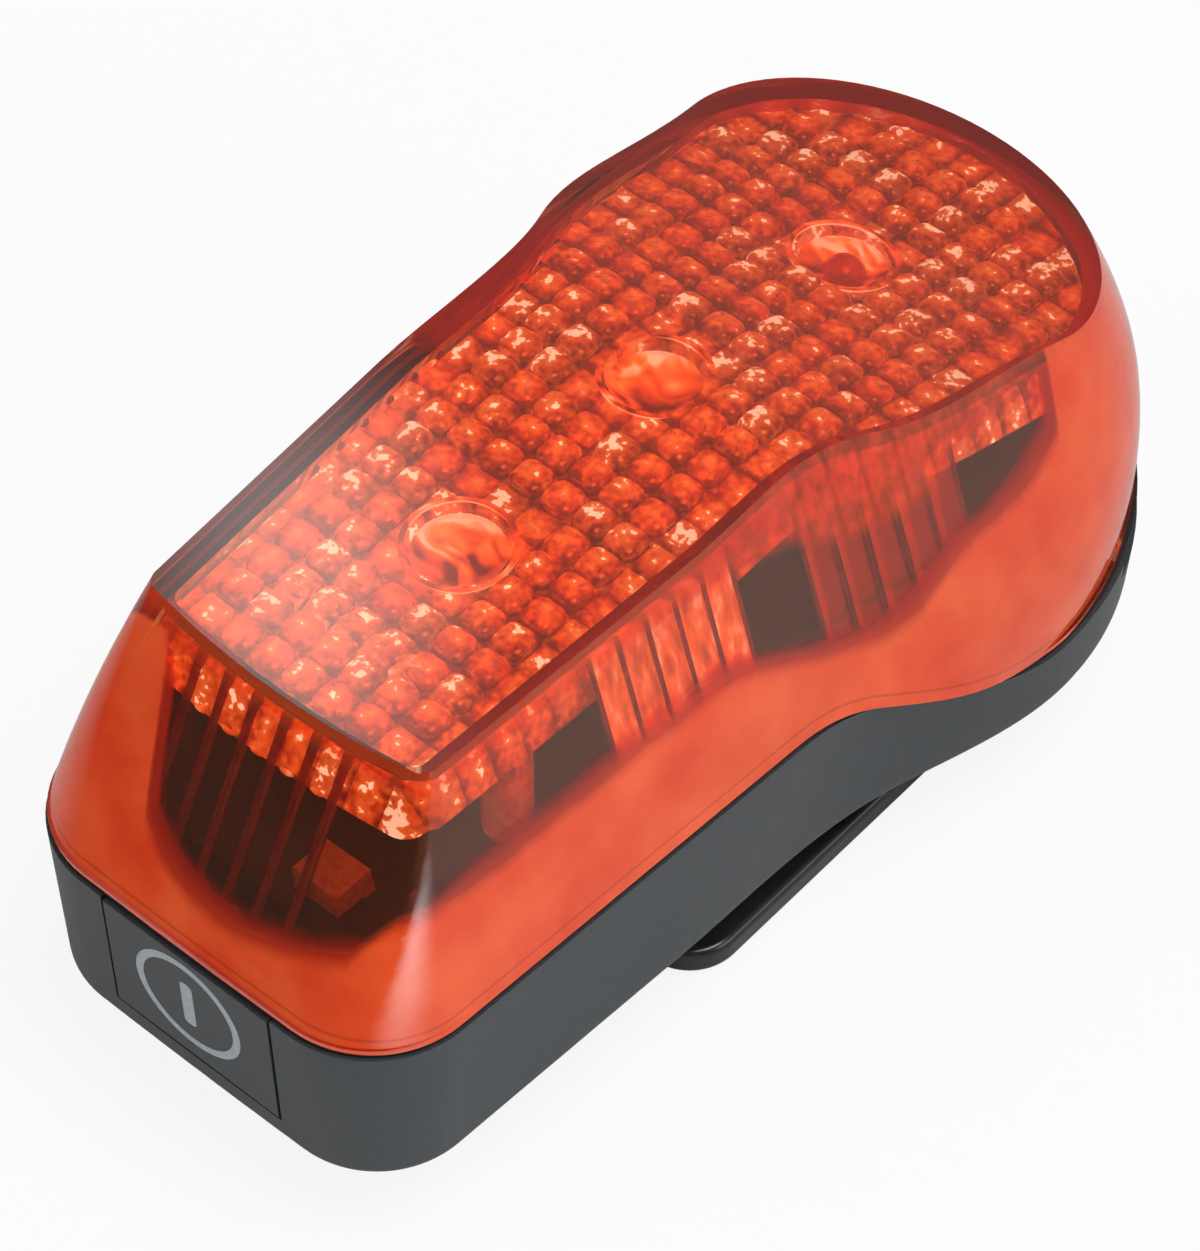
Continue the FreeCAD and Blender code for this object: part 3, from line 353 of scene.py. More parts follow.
def clear_red():
    """Clear red over the board and the optic, clouded low on its walls, where a bright painted glow stands in
    for light running down inside the wall.
    """
    material, tree, shader = new_material("clear red polycarbonate", ior=1.58)
    texture = add(tree, "ShaderNodeTexCoord")
    axes = add(tree, "ShaderNodeSeparateXYZ", {"Vector": texture.outputs["Object"]})
    wisps = add(tree, "ShaderNodeMath", {0: grain_field(tree, 2.4), 1: 0.0006, 2: -0.0003},
                operation="MULTIPLY_ADD").outputs[0]
    height = add(tree, "ShaderNodeMath", {0: axes.outputs["Z"], 1: wisps}, operation="ADD").outputs[0]
    crease = profile(tree, axes.outputs["Y"], -HALF_LENGTH, HALF_LENGTH, CREASE)
    below = add(tree, "ShaderNodeMath", {0: crease, 1: height}, operation="SUBTRACT").outputs[0]
    up = add(tree, "ShaderNodeSeparateXYZ", {"Vector": texture.outputs["Normal"]}).outputs["Z"]
    slope = add(tree, "ShaderNodeMath", {0: up}, operation="ABSOLUTE").outputs[0]
    clear = clear_share(tree, axes, height, slope, below)
    through = add(tree, "ShaderNodeMapRange", {"Value": clear, "To Min": 0.18, "To Max": 0.975})
    tree.links.new(through.outputs["Result"], shader.inputs["Transmission Weight"])

    # colour: a cloudy painted glow or pure red, with a thin dark line along the edge over the seam
    painted_glow_cloud = add(tree, "ShaderNodeValToRGB", {"Fac": grain_field(tree, 5.0, 3.0)},
                ((0.3, "#E8461C"), (0.7, "#FA6634"))).outputs["Color"]
    tint = add(tree, "ShaderNodeValToRGB", {"Fac": grain_field(tree, 6.0)},
               ((0.3, "#FF9C6C"), (0.7, "#FFA678"))).outputs["Color"]
    pure = add(tree, "ShaderNodeMapRange", {
        "Value": clear, "From Min": 0.8, "From Max": 1.0}).outputs["Result"]
    body = add(tree, "ShaderNodeMix", {0: pure, 6: painted_glow_cloud, 7: tint}, data_type="RGBA").outputs[2]
    rise = add(tree, "ShaderNodeMath", {0: above_seam(tree, axes), 1: -EDGE_LINE}, operation="ADD").outputs[0]
    off = add(tree, "ShaderNodeMath", {0: rise}, operation="ABSOLUTE").outputs[0]
    line = add(tree, "ShaderNodeMapRange", {
        "Value": off, "From Min": 0.00004, "From Max": 0.00014,
        "To Min": 0.72, "To Max": 1.0}).outputs["Result"]
    lined = add(tree, "ShaderNodeVectorMath", {0: body, 1: line}, operation="MULTIPLY").outputs["Vector"]

    # the shoulder of the flare: a cloudy slope over the crease, darker, ribbed and mottled
    above_crease = add(tree, "ShaderNodeMapRange", {
        "Value": below, "From Min": CREASE_FROM, "From Max": CREASE_TO,
        "To Min": 1.0, "To Max": 0.0}).outputs["Result"]
    flared = add(tree, "ShaderNodeMapRange", {
        "Value": axes.outputs["Y"], "From Min": FLARE_FROM, "From Max": 0.0,
        "To Min": 0.0, "To Max": 1.0}).outputs["Result"]
    over_flare = add(tree, "ShaderNodeMath", {0: above_crease, 1: flared}, operation="MULTIPLY").outputs[0]
    dull = add(tree, "ShaderNodeMath", {0: 1.0, 1: clear}, operation="SUBTRACT").outputs[0]
    shoulder = add(tree, "ShaderNodeMath", {0: over_flare, 1: dull}, operation="MULTIPLY").outputs[0]
    deep = add(tree, "ShaderNodeMapRange", {
        "Value": shoulder, "To Min": 1.0, "To Max": 0.5}).outputs["Result"]
    kept = rib_shade(tree, axes, shoulder)
    shading = add(tree, "ShaderNodeMath", {0: deep, 1: kept}, operation="MULTIPLY").outputs[0]
    shaded = add(tree, "ShaderNodeVectorMath", {0: lined, 1: shading}, operation="MULTIPLY").outputs["Vector"]
    tree.links.new(shaded, shader.inputs["Base Color"])

    # the little light that the cloudy plastic passes on, in patches on the shoulder
    mottle = add(tree, "ShaderNodeMapRange", {
        "Value": grain_field(tree, 1.1, 3.0, (1, 1, 1.6)), "From Min": 0.38, "From Max": 0.66,
        "To Min": 0.03, "To Max": 0.42}, interpolation_type="SMOOTHSTEP").outputs["Result"]
    spots = add(tree, "ShaderNodeMath", {0: over_flare, 1: mottle, 2: 0.05},
                operation="MULTIPLY_ADD").outputs[0]
    lit = add(tree, "ShaderNodeMath", {0: spots, 1: dull}, operation="MULTIPLY").outputs[0]
    glow = add(tree, "ShaderNodeMath", {0: lit, 1: kept}, operation="MULTIPLY").outputs[0]
    tree.links.new(glow, shader.inputs["Emission Strength"])
    shader.inputs["Emission Color"].default_value = colour("#F8400C")

    # scratches, long along Y
    scratch = grain_field(tree, 0.12, 3.0, (1, 60, 1))
    rough = add(tree, "ShaderNodeMapRange", {
        "Value": scratch, "From Min": 0.58, "From Max": 0.78, "To Min": 0.008, "To Max": 0.06})
    tree.links.new(rough.outputs["Result"], shader.inputs["Roughness"])
    return material


def streaked_clear():
    """The optic's plain plastic, which gathers light in upright streaks."""
    material, tree, shader = new_material("optic polycarbonate", roughness=0.07, ior=1.9,
                                          transmission_weight=0.3, emission_strength=0.6)
    streaks = grain_field(tree, 0.9, 3.0, (1, 1, 4))
    caught = add(tree, "ShaderNodeValToRGB", {"Fac": streaks},
                 ((0.34, "#B05424"), (0.55, "#E89450"), (0.68, "#F0F4FF"))).outputs["Color"]
    tree.links.new(caught, shader.inputs["Base Color"])
    tree.links.new(caught, shader.inputs["Emission Color"])
    return material


def cushion_colours():
    """Moulded cushions with painted light: a pale painted highlight near the middle and painted shade, deep
    red, in the valleys, each a little different.
    """
    material, tree, shader = new_material("cushioned polycarbonate", roughness=0.05, ior=1.9,
                                          transmission_weight=0.08)
    texture = add(tree, "ShaderNodeTexCoord")
    axes = add(tree, "ShaderNodeSeparateXYZ", {"Vector": texture.outputs["Object"]})

    # which cushion a place is on, and how far it is from that cushion's middle, in shares of the pitch
    cells = add(tree, "ShaderNodeMapping", {
        "Vector": texture.outputs["Object"],
        "Location": (0.5, (0.5 * PITCH - NEAR_END - FIELD_FROM) / PITCH, 0.0),
        "Scale": (1 / (PITCH * MM), 1 / (PITCH * MM), 0.0)}).outputs["Vector"]
    cell = add(tree, "ShaderNodeVectorMath", {0: cells}, operation="FLOOR").outputs["Vector"]
    inside = add(tree, "ShaderNodeVectorMath", {0: cells}, operation="FRACTION").outputs["Vector"]
    chance = add(tree, "ShaderNodeTexWhiteNoise", {"Vector": cell}, noise_dimensions="3D")
    # the middle of each painted highlight is set off from the cushion's middle, so that the painted shade
    # falls as a crescent on one side
    painted_highlight_middle = add(tree, "ShaderNodeVectorMath", {
        0: chance.outputs["Color"], 1: (0.22, 0.22, 0.0), 2: (0.30, 0.48, 0.0)}, operation="MULTIPLY_ADD")
    off = add(tree, "ShaderNodeVectorMath", {0: inside, 1: painted_highlight_middle.outputs["Vector"]},
              operation="SUBTRACT")
    level_off = add(tree, "ShaderNodeVectorMath", {0: off.outputs["Vector"], 1: (1, 1, 0)},
                    operation="MULTIPLY")
    far = add(tree, "ShaderNodeVectorMath", {0: level_off.outputs["Vector"]},
              operation="LENGTH").outputs["Value"]

    # the dome: a pale painted highlight in the middle, in rings out to painted shade, deep red, in the
    # valleys; each cushion as bright as its chance says, and in painted shade that deepens farther back
    ripple = add(tree, "ShaderNodeMath", {0: grain_field(tree, 0.7, 3.0), 1: 0.36, 2: far},
                 operation="MULTIPLY_ADD").outputs[0]
    painted_dome_light = add(tree, "ShaderNodeValToRGB", {"Fac": ripple}, (
        (0.22, "#FFF0D4"), (0.36, "#FFC890"), (0.58, "#FF9050"), (0.72, "#B83818"),
        (0.84, "#8A2410"))).outputs["Color"]
    own = add(tree, "ShaderNodeMapRange", {"Value": chance.outputs["Value"], "To Min": 0.6, "To Max": 1.0})
    farther = add(tree, "ShaderNodeMapRange", {
        "Value": axes.outputs["Y"], "From Min": 0.0, "From Max": 0.03, "To Min": 1.0, "To Max": 0.80})
    shade = add(tree, "ShaderNodeMath", {0: own.outputs["Result"], 1: farther.outputs["Result"]},
                operation="MULTIPLY").outputs[0]
    tinted = add(tree, "ShaderNodeVectorMath", {0: painted_dome_light, 1: shade}, operation="MULTIPLY")

    # the insert's skirt and the sides of the cushions: pale and streaked, with painted shade over their
    # higher parts, which darkens the valleys between the cushions
    up = add(tree, "ShaderNodeSeparateXYZ", {"Vector": texture.outputs["Normal"]}).outputs["Z"]
    on_top = add(tree, "ShaderNodeMapRange", {
        "Value": up, "From Min": 0.05, "From Max": 0.25}).outputs["Result"]
    painted_upper_shade = add(tree, "ShaderNodeMapRange", {
        "Value": axes.outputs["Z"], "From Min": 0.0240, "From Max": 0.0262,
        "To Min": 1.0, "To Max": 0.25}).outputs["Result"]
    skirt = add(tree, "ShaderNodeValToRGB", {"Fac": grain_field(tree, 1.2, 3.0, (1, 1, 2))},
                ((0.38, "#F0683C"), (0.62, "#FFD2AC"))).outputs["Color"]
    shaded_skirt = add(tree, "ShaderNodeVectorMath", {0: skirt, 1: painted_upper_shade}, operation="MULTIPLY").outputs["Vector"]
    body = add(tree, "ShaderNodeMix", {0: on_top, 6: shaded_skirt, 7: tinted.outputs["Vector"]}, data_type="RGBA")
    tree.links.new(body.outputs[2], shader.inputs["Base Color"])

    # painted light that the domes gather: an even painted glow, and small pale painted highlights that
    # sparkle off the middle of some domes
    pick_cell = add(tree, "ShaderNodeMath", {
        0: chance.outputs["Value"], 1: 0.28, 2: grain_field(tree, 0.55)}, operation="MULTIPLY_ADD").outputs[0]
    painted_sparkle = add(tree, "ShaderNodeMath", {0: ripple, 1: 0.55, 2: pick_cell},
                operation="MULTIPLY_ADD").outputs[0]
    spread = add(tree, "ShaderNodeMapRange", {
        "Value": painted_sparkle, "From Min": 0.49, "From Max": 1.24}).outputs["Result"]
    gather = add(tree, "ShaderNodeValToRGB", {"Fac": spread}, (
        (0.26, "#C0E4FF"), (0.315, "#F8AC68"), (0.52, "#E07C30"), (0.72, "#A8481C"),
        (0.90, "#642008"))).outputs["Color"]
    lit = add(tree, "ShaderNodeVectorMath", {0: gather, 1: shade}, operation="MULTIPLY")
    tree.links.new(lit.outputs["Vector"], shader.inputs["Emission Color"])
    bright = add(tree, "ShaderNodeMapRange", {
        "Value": spread, "From Min": 0.25, "From Max": 0.32, "To Min": 2.9, "To Max": 0.84}).outputs["Result"]
    strength = add(tree, "ShaderNodeMix", {0: on_top, 2: 0.25, 3: bright}, data_type="FLOAT").outputs[0]
    tree.links.new(strength, shader.inputs["Emission Strength"])
    return material


def swirled(name):
    """A polished dish whose clear plastic shows swirls of gathered light as a painted glow, with painted
    shade on the side turned one way and a painted highlight on the other.
    """
    material, tree, shader = new_material(name, roughness=0.04, ior=1.9, transmission_weight=0.35,
                                          emission_strength=0.9)
    texture = add(tree, "ShaderNodeTexCoord")
    bend = add(tree, "ShaderNodeTexNoise", {
        "Vector": texture.outputs["Object"], "Scale": 260.0, "Detail": 1.0, "Distortion": 2.2}).outputs["Fac"]
    # painted light by which way the dish's surface faces: painted shade on one side, a painted highlight on
    # the other
    painted_light_side = add(tree, "ShaderNodeVectorMath", {0: texture.outputs["Normal"], 1: (0.28, -0.22, 0.0)},
                 operation="DOT_PRODUCT").outputs["Value"]
    swirl = add(tree, "ShaderNodeMath", {0: painted_light_side, 1: bend}, operation="ADD").outputs[0]
    glow = add(tree, "ShaderNodeValToRGB", {"Fac": swirl}, (
        (0.30, "#6A1E0C"), (0.40, "#B04A20"), (0.52, "#D87830"), (0.60, "#F4A458"),
        (0.70, "#E4F0FF"))).outputs["Color"]
    tree.links.new(glow, shader.inputs["Base Color"])
    tree.links.new(glow, shader.inputs["Emission Color"])
    return material


# polycarbonate, polished: deep clear red, cloudy low on its walls where a painted glow stands in for the
# light coming through, with fine scratches from handling
lens_red = clear_red()
# polycarbonate of the optic, moulded and left clear: it takes up the lens's red
optic_clear = streaked_clear()
# the same plastic in moulded cushions
optic_cushions = cushion_colours()
# the same plastic, polished, where the lamps shine out
dish_clear = swirled("polished dish polycarbonate")
# the same plastic in the long flutes of the flare, which the dark board shows through, with a faint painted
# glow
flute_clear = grained("fluted polycarbonate", "#E8805C", "#FFA888", 1.2, 0.004, roughness=0.06, ior=1.5,
                      transmission_weight=0.8, emission_color=colour("#C83C18"), emission_strength=0.13)
# the lens's own red plastic in its fine ribs, thick enough to look dark
rib_red = grained("deep red rib polycarbonate", "#8E1E10", "#B8321C", 1.5, 0.003, roughness=0.08, ior=1.58,
                  transmission_weight=0.35)

finishes = {
    "base_shell": tray_plastic, "power_button": tray_plastic, "seam_gasket": rubber,
    "button_pad": rubber, "foam_pad": foam, "circuit_board": board, "led_near": led_epoxy,
    "led_mid": led_epoxy, "led_far": led_epoxy, "led_leads": solder, "chip_legs": solder,
    "led_drivers": package, "controller_chip": package, "led_resistors": ceramic,
    "storage_capacitor": ceramic, "board_screws": zinc, "clip_screws": zinc, "switch_body": switch_black,
    "switch_stem": switch_white, "cell_left": cell_can, "cell_right": cell_can,
    "contact_positive": nickel, "contact_negative": nickel, "contact_bridge": nickel,
    "spring_near": nickel, "spring_far": nickel, "clip_foot": clip_plastic, "clip_tongue": clip_plastic,
    "lens_cover": lens_red, "optic_insert": optic_clear,
}
for node, material in finishes.items():
    paint(nodes[node], material)


# Shells: the frame's own, with their curved faces shaded smooth, and the lens's thin edge over the cord

def ease(value, low, high):
    """A smooth step from 0 at low to 1 at high."""
    part = min(max((value - low) / (high - low), 0), 1)
    return part * part * (3 - 2 * part)


BULGE = 0.5  # the most that the lens fills out
BULGE_FROM, BULGE_TO = 4, 26  # along Y, from none to all of it
BULGE_LOW, BULGE_HIGH = 14, 26  # heights, from all of it to none


def bulge(shell, most):
    """Fill out the shell's lower wall at the wide end, above the seam, by that much at most."""
    for corner in shell.data.vertices:
        height, along = corner.co.z / MM, corner.co.y / MM
        seam = SEAM_HIGH - SEAM_DIP * ease(along, DIP_FROM, DIP_TO)
        share = (ease(along, BULGE_FROM, BULGE_TO) * (1 - ease(height, BULGE_LOW, BULGE_HIGH))
                 * ease(height, seam - 0.6, seam + 0.1))
        outward = Vector((corner.co.x, corner.co.y - 20 * MM, 0)).normalized()
        corner.co += outward * most * share * MM
        corner.co.y = min(corner.co.y, cad_box[1].y)
    shell.data.update()


lens = smooth_copy("lens_cover", "lens_shell")
bulge(lens, BULGE)
paint(lens, lens_red)
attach(lens, "lens_unit")

RIM_LIFT = 0.5  # the ledge over the cord
RIM_SPREAD = (1.0055, 1.003)  # shares of the cord's width and length
RIM_GAP = 0.25  # the most that it hangs off the lens

rim = smooth_copy("seam_gasket", "lens_rim")
rim.data.transform(Matrix.Translation((0, 0, RIM_LIFT * MM)) @ Matrix.Diagonal((*RIM_SPREAD, 1, 1)))
for corner in rim.data.vertices:
    _, place, _, _ = lens.closest_point_on_mesh(corner.co)
    gap = (place - corner.co).length
    if gap > RIM_GAP * MM:
        corner.co = corner.co.lerp(place, 1 - RIM_GAP * MM / gap)
    corner.co.y = min(corner.co.y, cad_box[1].y)
paint(rim, lens_red)
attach(rim, "lens_unit")

tray = smooth_copy("base_shell", "tray_shell")
paint(tray, tray_plastic)
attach(tray, "tray")


# Optic: a field of domed square cushions on the insert, flutes and ribs beside it, a dish over each lamp

CUSHION, CUSHION_CORNER = 2.40, 0.7  # a cushion's width and the round of its corners
FORM_HIGH, FORM_RISE = 0.5, 0.15  # the block that it starts from, and how high that stands
DOME_STEPS = ((0.08, 0.14), (0.14, 0.12), (0.22, 0.09), (0.3, 0.05))  # inset and rise of each step
ROWS, SIDE_COLUMNS = 32, 8  # of the lattice, with this many columns each side of the middle one
LEAST_LEVEL = 0.8  # of the plate's normal under a cushion
MOST_STEP = 1.2  # the most that the plate may rise and fall under one cushion
# places under a cushion that have to lie on the plate, in shares of its half width
FOOTPRINT = ((0, 0), (-1, -1), (1, -1), (-1, 1), (1, 1), (1.2, 0), (-1.2, 0))

# Rows of flutes and ribs in each side: the first one's place from the key end, the pitch, and the
# heights of their feet and tops
SIDE_FLUTES = (24.9, 2.35, 17.5, 28.6)
FLARE_FLUTES = (42.4, 2.4, 15.0, 28.2)
SIDE_RIBS = (23.72, 2.35, 16.5, 28.6)
FLARE_RIBS = (41.2, 2.4, 14.2, 27.6)

# The same in the near wall: their feet, their tops and how far behind its inner face they stand
NEAR_FINGERS = (25.4, 29.0, 0.27)
NEAR_RIBS = (15.0, 28.6, 0.4)

FLUTE_RADIUS = 1.08
FLUTE_DEPTH, FINGER_DEPTH = 0.24, 0.25
NEAR_RIB_RADIUS, SIDE_RIB_RADIUS = 0.36, 0.2
DISH_RADIUS, DISH_WALL, DISH_LIFT = 3.35, 0.35, 0.1
DISH_FLATNESS = 0.5  # a dish is half a ball pressed to this share of its depth
BOWL_REACH = 4.6  # from a lamp's middle to the flat beside its bowl


def cushion_form():
    """One cushion at the origin: a block with round corners whose top is drawn up in steps."""
    form = begin(bpy.ops.mesh.primitive_cube_add, "cushion", size=1.0)
    form.scale = Vector((CUSHION, CUSHION, FORM_HIGH)) * MM
    form.location.z = FORM_RISE * MM
    bpy.ops.object.transform_apply(location=True, rotation=True, scale=True)
    edit(form, "EDGE")
    pick(form, "edges", lambda e: abs(e.verts[0].co.z - e.verts[1].co.z) > 0.1 * MM)
    bpy.ops.mesh.bevel(offset=CUSHION_CORNER * MM, segments=3, affect="EDGES")
    bpy.ops.mesh.select_mode(type="FACE")
    pick(form, "faces", lambda f: f.normal.z < -0.9)
    bpy.ops.mesh.delete(type="FACE")
    for inset, rise in DOME_STEPS:
        pick(form, "faces", lambda f: f.normal.z > 0.99 and f.calc_center_median().xy.length < 0.05 * MM)
        bpy.ops.mesh.inset(thickness=inset * MM, use_boundary=True)
        bpy.ops.transform.translate(value=(0, 0, rise * MM))
    return close(form, 60)


def cushion_places():
    """Places and normals of the cushions: a square lattice over the flat of the insert."""
    spots = []
    reach = PITCH / 2
    for row in range(ROWS):
        y = NEAR_END + FIELD_FROM + PITCH * row
        for column in range(-SIDE_COLUMNS, SIDE_COLUMNS + 1):
            x = PITCH * column
            tops = [under("optic_insert", x + reach * right, y + reach * ahead) for right, ahead in FOOTPRINT]
            if any(place is None or normal.z < LEAST_LEVEL for place, normal in tops):
                continue
            heights = [place.z for place, _ in tops]
            if max(heights) - min(heights) <= MOST_STEP:
                spots.append(tops[0])
    return spots


def flute(name, low, high, outward, depth=FLUTE_DEPTH):
    """A flattened test tube: a ball whose upper half is drawn up, its round end at the low place."""
    low, high = Vector(low) * MM, Vector(high) * MM
    upward = (high - low).normalized()
    across = outward.cross(upward).normalized()
    made = begin(bpy.ops.mesh.primitive_uv_sphere_add, name, segments=20, ring_count=10,
                 radius=FLUTE_RADIUS * MM)
    edit(made, "VERT")
    pick(made, "verts", lambda v: v.co.z > 0.05 * MM)
    bpy.ops.transform.translate(value=(0, 0, (high - low).length - 2 * FLUTE_RADIUS * MM))
    bpy.ops.object.mode_set(mode="OBJECT")
    stand = Matrix((across, upward.cross(across), upward)).transposed().to_4x4()
    flat = Matrix.Diagonal((1, depth / FLUTE_RADIUS, 1, 1))
    made.data.transform(Matrix.Translation(low + upward * FLUTE_RADIUS * MM) @ stand @ flat)
    return close(made, 50)


def rod(name, low, high, radius):
    """A thin round rib between two places, with its ends rounded off."""
    low, high = Vector(low) * MM, Vector(high) * MM
    run = high - low
    made = begin(bpy.ops.mesh.primitive_cylinder_add, name, vertices=12, radius=radius * MM,
                 depth=run.length, location=(low + high) / 2, rotation=run.to_track_quat("Z", "X").to_euler())
    edit(made, "FACE")
    pick(made, "faces", lambda f: abs(f.normal.z) > 0.9)
    bpy.ops.mesh.bevel(offset=0.6 * radius * MM, segments=2)
    return close(made, 50)


def under_roof(place):
    """True where a place lies on the top of the insert's plate."""
    top, _ = under("optic_insert", place.x, place.y)
    return top is not None and abs(top.z - place.z) < 0.2


def make_optic():
    """The insert with its plate pressed down and a cushion on each place of the lattice."""
    plate = smooth_copy("optic_insert", "optic_plate")
    edit(plate, "FACE")
    pick(plate, "faces", lambda f: f.normal.z > 0.85 and f.calc_center_median().z > 18.5 * MM
         and under_roof(f.calc_center_median() / MM))
    bpy.ops.transform.translate(value=(0, 0, -SUNK * MM))
    close(plate, SOFT_EDGE)
    form = cushion_form()
    parts = [plate]
    for number, (place, normal) in enumerate(cushion_places()):
        turn = normal.to_track_quat("Z", "Y").to_matrix().to_4x4()
        seat = Matrix.Translation((place - normal * SUNK) * MM) @ turn
        parts.append(copy_of(form, f"cushion_{number}", seat))
    bpy.data.objects.remove(form)
    return join("optic_plate", parts)


def near_wall(x, z, back):
    """A place on the inner face of the lens's near wall, or that far behind it."""
    place = beside("lens_cover", (x, -22.0, z), (0, -1, 0))
    return Vector((x, place.y + back, z))


def side_wall(y, z, side, back):
    """A place on the inner face of a side wall of the lens, or that far inside it."""
    place = beside("lens_cover", (0, y, z), (side, 0, 0))
    return Vector((place.x - side * back, y, z))


def along_wall(y, low, high, side):
    """Both ends of a straight line that lies just inside a side wall of the lens."""
    clearance = 0.3
    ends = [side_wall(y, z, side, clearance) for z in (low, high)]
    for step in (0.25, 0.5, 0.75):
        inner = side_wall(y, low + step * (high - low), side, clearance)
        out = side * (ends[0].x + step * (ends[1].x - ends[0].x) - inner.x)
        if out > 0:
            for end in ends:
                end.x -= side * out
    return ends


def near_upright(row, x):
    """Both ends of a finger or rib behind the near wall."""
    foot, top, back = row
    return near_wall(x, foot, back), near_wall(x, top, back)


def upright(row, number, side):
    """Both ends of one flute or rib of a row inside a side wall; their tops fall with the roof."""
    first, pitch, foot, top = row
    along = first + pitch * number
    head = top - ROOF_FALL * max(0, along - ROOF_TURN)
    return along_wall(NEAR_END + along, foot, head, side)


def side_flutes(name, row):
    """One row of flutes on each side."""
    return [flute(f"{name}_{side}_{number}", *upright(row, number, side), Vector((side, 0, 0)))
            for side in (-1, 1) for number in range(5)]


def make_fingers():
    """Round-ended flutes: a row of fingers inside the near wall and a group inside each side."""
    parts = []
    for number in range(5):
        x = FINGER_FROM + FINGER_PITCH * number
        parts.append(flute(f"finger_{number}", *near_upright(NEAR_FINGERS, x), Vector((0, -1, 0)),
                           FINGER_DEPTH))
    return join("skirt_fingers", parts + side_flutes("flute", SIDE_FLUTES))


def make_flare_flutes():
    """Long clear flutes where each side flares out."""
    return join("flare_flutes", side_flutes("flare_flute", FLARE_FLUTES))


def make_dishes():
    """A smooth round dish in each bowl of the insert, over its lamp."""
    parts = []
    for led in ("led_near", "led_mid", "led_far"):
        low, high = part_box(led)
        middle = (low + high) / 2 / MM
        edges = [under("optic_insert", middle.x + BOWL_REACH * right, middle.y + BOWL_REACH * ahead)
                 for right, ahead in ((1, 0), (-1, 0), (0, 1), (0, -1))]
        level = sum((edge[0].z for edge in edges)) / 4 - SUNK
        tilt = edges[0][1].to_track_quat("Z", "Y").to_matrix().to_4x4()
        dish = begin(bpy.ops.mesh.primitive_uv_sphere_add, f"dish_{led}", segments=48, ring_count=24,
                     radius=DISH_RADIUS * MM)
        edit(dish, "VERT")
        pick(dish, "verts", lambda v: v.co.z > 0.05 * MM)
        bpy.ops.mesh.delete(type="VERT")
        bpy.ops.mesh.select_all(action="SELECT")
        bpy.ops.mesh.flip_normals()
        bpy.ops.object.mode_set(mode="OBJECT")
        finish_modifier(dish, "SOLIDIFY", thickness=DISH_WALL * MM, offset=-1.0)
        place = Matrix.Translation(Vector((middle.x, middle.y, level + DISH_LIFT)) * MM)
        dish.data.transform(place @ tilt @ Matrix.Diagonal((1, 1, DISH_FLATNESS, 1)))
        parts.append(close(dish, 50))
    return join("lamp_dishes", parts)


def make_ribs():
    """Fine upright ribs in the lens, between the fingers and between the flutes."""
    parts = []
    for number in range(6):
        x = FINGER_FROM + FINGER_PITCH * (number - 0.5)
        parts.append(rod(f"near_rib_{number}", *near_upright(NEAR_RIBS, x), NEAR_RIB_RADIUS))
    for side in (-1, 1):
        for number in range(6):
            for row in (SIDE_RIBS, FLARE_RIBS):
                parts.append(rod(f"side_rib_{side}_{row[0]}_{number}", *upright(row, number, side),
                                 SIDE_RIB_RADIUS))
    return join("lens_ribs", parts)


optic = make_optic()
fingers = make_fingers()
flare_flutes = make_flare_flutes()
ribs = make_ribs()
dishes = make_dishes()
for piece, material, slot in (
        (optic, optic_cushions, "optic_clear"), (fingers, optic_clear, "optic_clear"),
        (flare_flutes, flute_clear, "optic_clear"), (dishes, dish_clear, "optic_clear"),
        (ribs, rib_red, "lens_red")):
    paint(piece, material)
    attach(piece, "lens_unit")


# Mark on the key: a ring and a bar, printed

RING_RADIUS, RING_HALF_WIDTH = 4.02, 0.31
BAR = (1.0, 4.4, 0.8)
MARK_PLACE = (-0.2, 8.1)  # its middle on the key, along X and up
INK_FLATNESS = 0.1  # the ring and the bar are pressed to this share of their height


def key_face(x, z):
    """The place and normal on the front of the key."""
    _, place, normal, _ = nodes["power_button"].ray_cast(Vector((x, -60, z)) * MM, Vector((0, 1, 0)))
    return place, normal


def make_mark():
    """The ring and its bar, modelled flat and then laid on the key's face."""
    ring = begin(bpy.ops.mesh.primitive_torus_add, "mark_ring", major_segments=72, minor_segments=10,
                 major_radius=RING_RADIUS * MM, minor_radius=RING_HALF_WIDTH * MM)
    bar = begin(bpy.ops.mesh.primitive_cube_add, "mark_bar", size=1.0)
    bar.scale = Vector(BAR) * MM
    close(bar)
    finish_modifier(bar, "BEVEL", width=0.36 * MM, segments=4)
    mark = join("key_mark", [ring, bar])
    face, normal = key_face(*MARK_PLACE)
    stand = Matrix.Translation(face) @ normal.to_track_quat("Z", "Y").to_matrix().to_4x4()
    mark.data.transform(stand @ Matrix.Diagonal((1, 1, INK_FLATNESS, 1)))
    return close(mark)


mark = make_mark()
paint(mark, print_ink)
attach(mark, "power_key")

for piece, node in ((lens, "lens_cover"), (tray, "base_shell"), (optic, "optic_insert")):
    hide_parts(node)


# Floor, lamps and camera

